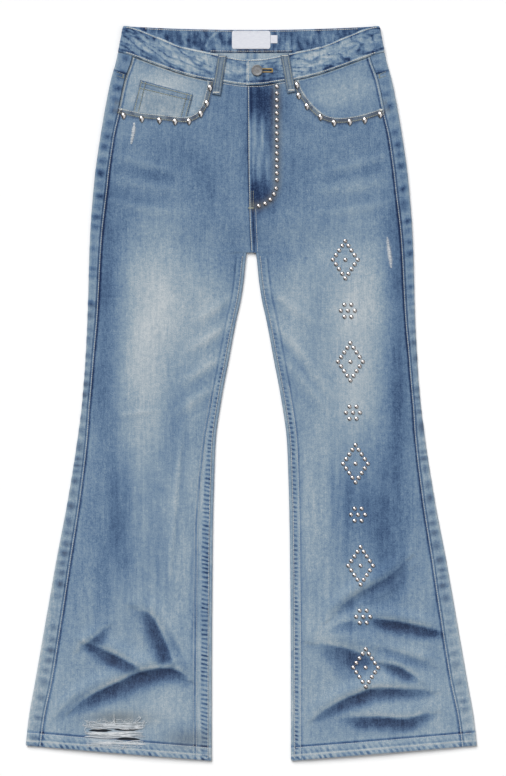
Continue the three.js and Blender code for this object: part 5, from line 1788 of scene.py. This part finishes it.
def pocket_run(inset):
    def path(side):
        rows = []
        for u, v in [(0, 0), (0, 1), (0.5, 1), (1, 1), (1, 0)]:
            u = mix(inset / 145, 1 - inset / 145, u)
            x, down = back_pocket_place(side, u, mix(0, 1 - inset / 130, v))
            rows.append((float(side * x), float(down)))
        return rows
    return path


def pocket_top(off):
    def path(side):
        ends = [back_pocket_place(side, u, off / 118) for u in (0.02, 0.98)]
        return [(float(side * x), float(down)) for x, down in ends]
    return path


def yoke_run(off):
    def path(side):
        return [(float(x), float(yoke_seam(("flat", 0), x, 0)) + off) for x in spread(4, 200, 8)]
    return path


def centre_back_run(off):
    return [[(side * off, down) for down in spread(YOKE["centre"] - 70, 338, 8)] for side in (-1, 1)]


under = {"below": True, "radius": 0.42}
seam_piece("stitches_underside", [
    (both_sides(pocket_run(2.5)) + both_sides(pocket_run(8)), {"on": [cloth["pocket", s] for s in (-1, 1)], **under}),
    (both_sides(pocket_top(12)) + both_sides(pocket_top(15)), {"on": [cloth["pocket", s] for s in (-1, 1)], **under}),
    (both_sides(yoke_run(2.5)) + both_sides(yoke_run(8)) + centre_back_run(3) + centre_back_run(8),
     {"on": yokes + backs, **under}),
    (both_sides(hem_run(19)), {"on": backs, **under}),
    ([band_run(1, -46, 10)], {"on": [band], **under}),
    ([[(x, BACK_BAND_EDGE["side"] + BACK_BAND_EDGE["dip"] + 2.4) for x in (-170, 170)],
      [(x, BAND_SEAM["back"] - 2.4) for x in (-180, 180)]], {"on": [band], **under}),
])


def loop_line(ends, offset, start, stop):
    (top_across, top_down), (foot_across, foot_down) = ends
    length = math.hypot(foot_across - top_across, foot_down - top_down)
    over, along = (foot_across - top_across) / length, (foot_down - top_down) / length
    return [(mix(top_across, foot_across, t) + offset * along, mix(top_down, foot_down, t) - offset * over)
            for t in (start, stop)]


LOOPS = {-1: LOOP_RIGHT, 1: LOOP_LEFT}
loop_rows = [[(side * x, down) for x, down in loop_line(ends, off, 0.1, 0.84)]
             for side, ends in LOOPS.items() for off in (-4.2, 4.2)]
loop_pieces = [cloth["loop", -1], cloth["loop", 1]]
tacks = [tack(side * ends[1][0], ends[1][1] - 3, 9, 1.8, on=loop_pieces) for side, ends in LOOPS.items()]
tacks += [tack(side * ends[0][0], ends[0][1] + 2, 9, 1.2, on=loop_pieces) for side, ends in LOOPS.items()]
tacks += [tack(side * (outseam(120) - 6), 126 if side < 0 else 127, 8, 3, 0.25 * side, fronts) for side in (-1, 1)]
dress(joined("bar_tacks", tacks), CREAM_THREAD, "stitching")
worn_rows = seam(loop_rows, loop_pieces, 0.46) + [tack(-0.5, 274.5, 8, 2.4, 0, fronts, 0.3)]
worn_rows += [tack(side * (outseam(77) + 3.6), 77, 6, 1.6, math.pi / 2, backs + yokes, 0.3) for side in (-1, 1)]
dress(joined("stitches_loops", worn_rows), OLIVE_THREAD, "stitching")


def keyhole_threads():
    """Close mustard stitches round the buttonhole."""
    eye, length = BUTTONHOLE["eye"] + 0.9, BUTTONHOLE["length"]
    half = BUTTONHOLE["slot"] / 2 + 0.9
    starts, ends = [], []
    for x in np.arange(4.2, length + 0.8, 0.72):
        for sign in (-1, 1):
            starts.append((BUTTON["across"] + x, BUTTON["down"] + sign * (BUTTONHOLE["slot"] / 2 + 0.15)))
            ends.append((BUTTON["across"] + x + 0.3, BUTTON["down"] + sign * (half + 1.3)))
    for angle in np.arange(0.6, 2 * math.pi - 0.6, 0.17):
        c, s = math.cos(angle), math.sin(angle)
        inner = BUTTONHOLE["eye"] + 0.15
        starts.append((BUTTON["across"] + inner * c, BUTTON["down"] + inner * s))
        ends.append((BUTTON["across"] + (eye + 1.3) * c, BUTTON["down"] + (eye + 1.3) * s))
    for y in np.arange(-half, half, 0.7):
        starts.append((BUTTON["across"] + length + 0.15, BUTTON["down"] + y))
        ends.append((BUTTON["across"] + length + 2.3, BUTTON["down"] + y))
    return laid_threads(starts, ends, [band], 0.55)


dress(joined("buttonhole_threads", [keyhole_threads()]), MUSTARD_THREAD, "stitching")

# Studs, and the waistband's button.
profile = dome_profile(STUD["height"])
dress(lathe_studs("studs_fly", fly_stud_places(), [fronts[1]], profile, round_rim), STUD_METAL, "stud_metal")
dress(lathe_studs("studs_leg", leg_stud_places(), [fronts[1]], profile, round_rim), STUD_METAL, "stud_metal")
for side, rows in ((-1, DROPS_RIGHT), (1, DROPS_LEFT)):
    at = [(side * across, down) for across, down in rows]
    drops = lathe_studs(f"drops_{SIDE_NAME[side]}", at, [cloth["front", side]], dome_profile(DROP["height"]), drop_rim,
                        16)
    dress(drops, DROP_METAL, "stud_metal")


def button():
    """A shank and a cap with a rolled rim and a shallow dish."""
    base = BAND["lower"] + BAND["wall"] / 2 + GAP
    low = base + BUTTON["rise"]
    top = low + BUTTON["cap"]
    r = BUTTON["radius"]
    rows = [(0.01, base), (BUTTON["shank"], base), (BUTTON["shank"], low), (r - 0.8, low), (r - 0.2, low + 0.3),
            (r, low + 0.9), (r, top - 0.9), (r - 0.3, top - 0.3), (r - 1, top), (r - 1.8, top - 0.15),
            (r - 2.6, top - 0.55), (r - 4, top - 0.6), (0.01, top - 0.5)]
    segments = 48
    angles = 2 * np.pi * np.arange(segments) / segments
    vertices = np.vstack([np.column_stack([BUTTON["across"] + radius * np.cos(angles),
                                           TOP - BUTTON["down"] + radius * np.sin(angles),
                                           np.full(segments, height)]) for radius, height in rows])
    faces = []
    for ring in range(len(rows) - 1):
        for k in range(segments):
            after, low_corner = (k + 1) % segments, ring * segments
            faces.append((low_corner + k, low_corner + after, low_corner + segments + after,
                          low_corner + segments + k))
    faces += [tuple(range(segments - 1, -1, -1)), tuple(range((len(rows) - 1) * segments, len(rows) * segments))]
    return new_mesh("button_cap", vertices, faces)


dress(button(), BUTTON_METAL, "button_metal", "shank_button", angle=30)

dress(rip_threads(fronts[0]), WHITE_THREAD, "rip_thread")
frays = [abrasion_threads(side, path, cloth["front", side]) for side, _, _, path in ABRASIONS]
dress(joined("abrasion_threads", frays), WHITE_THREAD, "rip_thread")


def zip_parts():
    """The zip's tape, and its teeth and slider."""
    level = HIP_LEVEL - LAYER
    plate = {**ZIP, "round": 1}
    tape = flat_shell("zip_tape_cloth", lambda u, v: rounded_place(plate, u, v), level - 0.3, 0.6, 0.04)
    centre = (ZIP["from"] + ZIP["to"]) / 2
    rows = np.arange(ZIP["top"] + 6, ZIP["bottom"] - 4, 2.0)
    starts = np.concatenate([np.column_stack([centre - 0.4 + 0 * rows, TOP - rows, level + 0.2 + 0 * rows]),
                             np.column_stack([centre + 0.4 + 0 * rows, TOP - rows - 1, level + 0.2 + 0 * rows])])
    ends = starts + np.repeat([[-2.2, 0, 0], [2.2, 0, 0]], len(rows), axis=0)
    slider = {"from": centre - 2.6, "to": centre + 2.6, "top": ZIP["top"] + 2, "bottom": ZIP["top"] + 12,
              "round": 1.6}
    body = flat_shell("zip_slider", lambda u, v: rounded_place(slider, u, v), level - 0.25, 0.75, 0.06)
    return tape, new_mesh("zip_teeth", *capsules(starts, ends, 0.3, 0)), body


tape, teeth, slider = zip_parts()
dress_cloth(tape, 1, 0.15, "fly_zip")
for piece in (teeth, slider):
    dress(piece, BRASS, "zip_brass", "fly_zip")

label_rows = [[(LABEL["from"] + 3, LABEL["top"] + 1.3), (LABEL["to"] - 3, LABEL["top"] + 1.3)],
              [(LABEL["from"] + 3, LABEL["bottom"] - 1.3), (LABEL["to"] - 3, LABEL["bottom"] - 1.3)]]
label_piece = bpy.data.objects["waist_label_satin"]
dress(joined("stitches_label", seam(label_rows, [label_piece], 0.28, 2.4, 1.9)), WHITE_THREAD, "stitching")

# The photograph's view: straight down, framed as 506 by 776 pixels of 1.5 mm.
PIXEL = 1.5
VIEW_TALL = 776 * PIXEL
VIEW_CENTRE = (2.55, 7.5)
LENS, SENSOR = 120, 36
camera_data = bpy.data.cameras.new("camera")
camera_data.lens, camera_data.sensor_width = LENS, SENSOR
camera = bpy.data.objects.new("camera", camera_data)
camera.location = (VIEW_CENTRE[0] * MM, VIEW_CENTRE[1] * MM, (VIEW_TALL * LENS / SENSOR + HIP_LEVEL) * MM)
bpy.context.scene.collection.objects.link(camera)
bpy.context.scene.camera = camera
bpy.context.scene.view_settings.view_transform = "Standard"


def soft_sun(name, energy, direction, spread_degrees):
    data = bpy.data.lights.new(name, "SUN")
    data.energy, data.angle = energy, math.radians(spread_degrees)
    lamp = bpy.data.objects.new(name, data)
    lamp.rotation_mode = "QUATERNION"
    lamp.rotation_quaternion = Vector(direction).to_track_quat("Z", "Y")
    bpy.context.scene.collection.objects.link(lamp)


soft_sun("key_light", 3.3, (-0.35, 0.75, 0.92), 45)
soft_sun("fill_light", 0.9, (0.6, -0.3, 1), 70)
world = bpy.data.worlds.new("studio")
bpy.context.scene.world = world
world.use_nodes = True
background = world.node_tree.nodes["Background"]
direction = add_node(world.node_tree, "ShaderNodeTexCoord").outputs["Generated"]
split = add_node(world.node_tree, "ShaderNodeSeparateXYZ", {0: direction})
sky = add_node(world.node_tree, "ShaderNodeMapRange", {"Value": split.outputs["Z"], "From Min": 0.0, "From Max": 0.75,
                                                       "To Min": 0.28, "To Max": 1.2})
world.node_tree.links.new(sky.outputs[0], background.inputs["Strength"])

FLOOR = 9000
floor = new_mesh("floor", [(-FLOOR, -FLOOR, 0), (FLOOR, -FLOOR, 0), (FLOOR, FLOOR, 0), (-FLOOR, FLOOR, 0)],
                 [(0, 1, 2, 3)])
floor_material, floor_tree, floor_shader = new_material("floor", 0.9)
floor_shader.inputs["Base Color"].default_value = (0.95, 0.95, 0.95, 1)
floor.data.materials.append(floor_material)
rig.stage(floor)


def cut(low, high, width_at, reach=0):
    """The flat size and area, in metres, of a piece whose width changes down its length."""
    widths = width_at(spread(low, high, 5))
    wide = max(float(np.max(widths)), reach)
    return {"flat": (wide * MM, (high - low) * MM), "area": float(np.mean(widths)) * (high - low) * MM**2}


def cut_outline(outline):
    """The same from an outline's corners."""
    x, down = np.array(outline, float).T
    area = abs(np.dot(x, np.roll(down, 1)) - np.dot(down, np.roll(x, 1))) / 2
    return {"flat": (float(np.ptp(x)) * MM, float(np.ptp(down)) * MM), "area": float(area) * MM**2}


def front_width(side):
    return lambda down: outseam(down) - front_inner(side, down, down > CROTCH)


def back_width(down):
    """Round the back's section: its strip, folds, underside and inseam wrap."""
    on_leg = down > CROTCH
    fold = math.pi / 2 * (outer_level(down) - seat_lift(down) - WALL / 2)
    wrap = INSEAM_WRAP + math.pi / 2 * (inner_level(down) - WALL / 2)
    return outer_width(down) + outseam_inset(down) + fold + np.where(on_leg, wrap - inner_width(down), 0)


def yoke_cut():
    down = (YOKE["centre"] + YOKE["fold"]) / 2
    wide = float(back_width(np.array(YOKE["fold"])))
    tall = YOKE["centre"] - BAND_SEAM["back"]
    return {"flat": (wide * MM, tall * MM), "area": wide * (down - BAND_SEAM["back"]) * MM**2}


def plate_cut(plate):
    return {"flat": ((plate["to"] - plate["from"]) * MM, (plate["bottom"] - plate["top"]) * MM)}


UNDER_WAIST = (BAND_SEAM["back"] + 24, LENGTH - 11)  # the fronts' mean top and hem
for side in (-1, 1):
    name, reach = SIDE_NAME[side], float(outer_width(LENGTH))
    on_front = ["rip_threads", "drops_right"] if side < 0 else ["studs_fly", "studs_leg", "drops_left"]
    on_front = [bpy.data.objects[piece] for piece in on_front]
    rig.sheet(cloth["front", side], held="laid", rests_on=[cloth["back", side]], with_pieces=on_front,
             **cut(*UNDER_WAIST, front_width(side), reach - float(outseam_inset(LENGTH))))
    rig.sheet(cloth["back", side], held="folded", rests_on=[floor], **cut(
        (YOKE["centre"] + YOKE["fold"]) / 2, UNDER_WAIST[1], back_width, reach + float(outseam_inset(LENGTH))))
    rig.sheet(cloth["yoke", side], held="folded", rests_on=[cloth["back", side]], **yoke_cut())
    rows = OPENING_RIGHT if side < 0 else OPENING_LEFT
    outline = opening_outline(side, rows, FACING["under"])[:-2]
    outline += [(side * x, float(band_seam(x))) for x in spread(abs(outline[-1][0]), float(outseam(50)), 15)]
    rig.sheet(cloth["facing", side], held="laid", rests_on=[cloth["back", side]], **cut_outline(outline))
    pocket_flat = (BACK_POCKET["width"] * MM, (BACK_POCKET["side"] + BACK_POCKET["point"]) * MM)
    pocket_area = 0.965 * BACK_POCKET["width"] * (BACK_POCKET["side"] + BACK_POCKET["point"] / 2) * MM**2
    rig.sheet(cloth["pocket", side], held="laid", rests_on=[cloth["back", side]], flat=pocket_flat, area=pocket_area)
    (top_across, top_down), (foot_across, foot_down) = LOOPS[side]
    long = math.hypot(foot_across - top_across, foot_down - top_down)
    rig.sheet(cloth["loop", side], held="laid", rests_on=[band], flat=(LOOP["width"] * MM, long * MM))
    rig.sheet(cloth["side loop", side], held="laid", rests_on=[band], flat=(LOOP["width"] * MM, LOOP["hidden"] * MM))
round_waist = band_reach(0) * (4 + BAND_ENDS["under"] + BAND_ENDS["over"]) + 2 * math.pi * BAND_RADIUS
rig.sheet(band, held="folded", rests_on=fronts, flat=(round_waist * MM, (BAND_SEAM["back"] - 1) * MM))
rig.sheet(coin, held="laid", rests_on=[cloth["facing", -1]], **cut_outline(COIN_POCKET))
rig.sheet(back_loop, held="laid", rests_on=[band], flat=(LOOP["width"] * MM, LOOP["hidden"] * MM))
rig.sheet(shield, held="laid", rests_on=backs, **plate_cut(SHIELD))
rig.sheet(tape, held="laid", rests_on=[shield], with_pieces=[teeth, slider], **plate_cut(ZIP))
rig.sheet(label_piece, held="laid", rests_on=[band], **plate_cut(LABEL))
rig.sheet(bpy.data.objects["size_tab_satin"], held="laid", rests_on=[band], **plate_cut(SIZE_TAB))

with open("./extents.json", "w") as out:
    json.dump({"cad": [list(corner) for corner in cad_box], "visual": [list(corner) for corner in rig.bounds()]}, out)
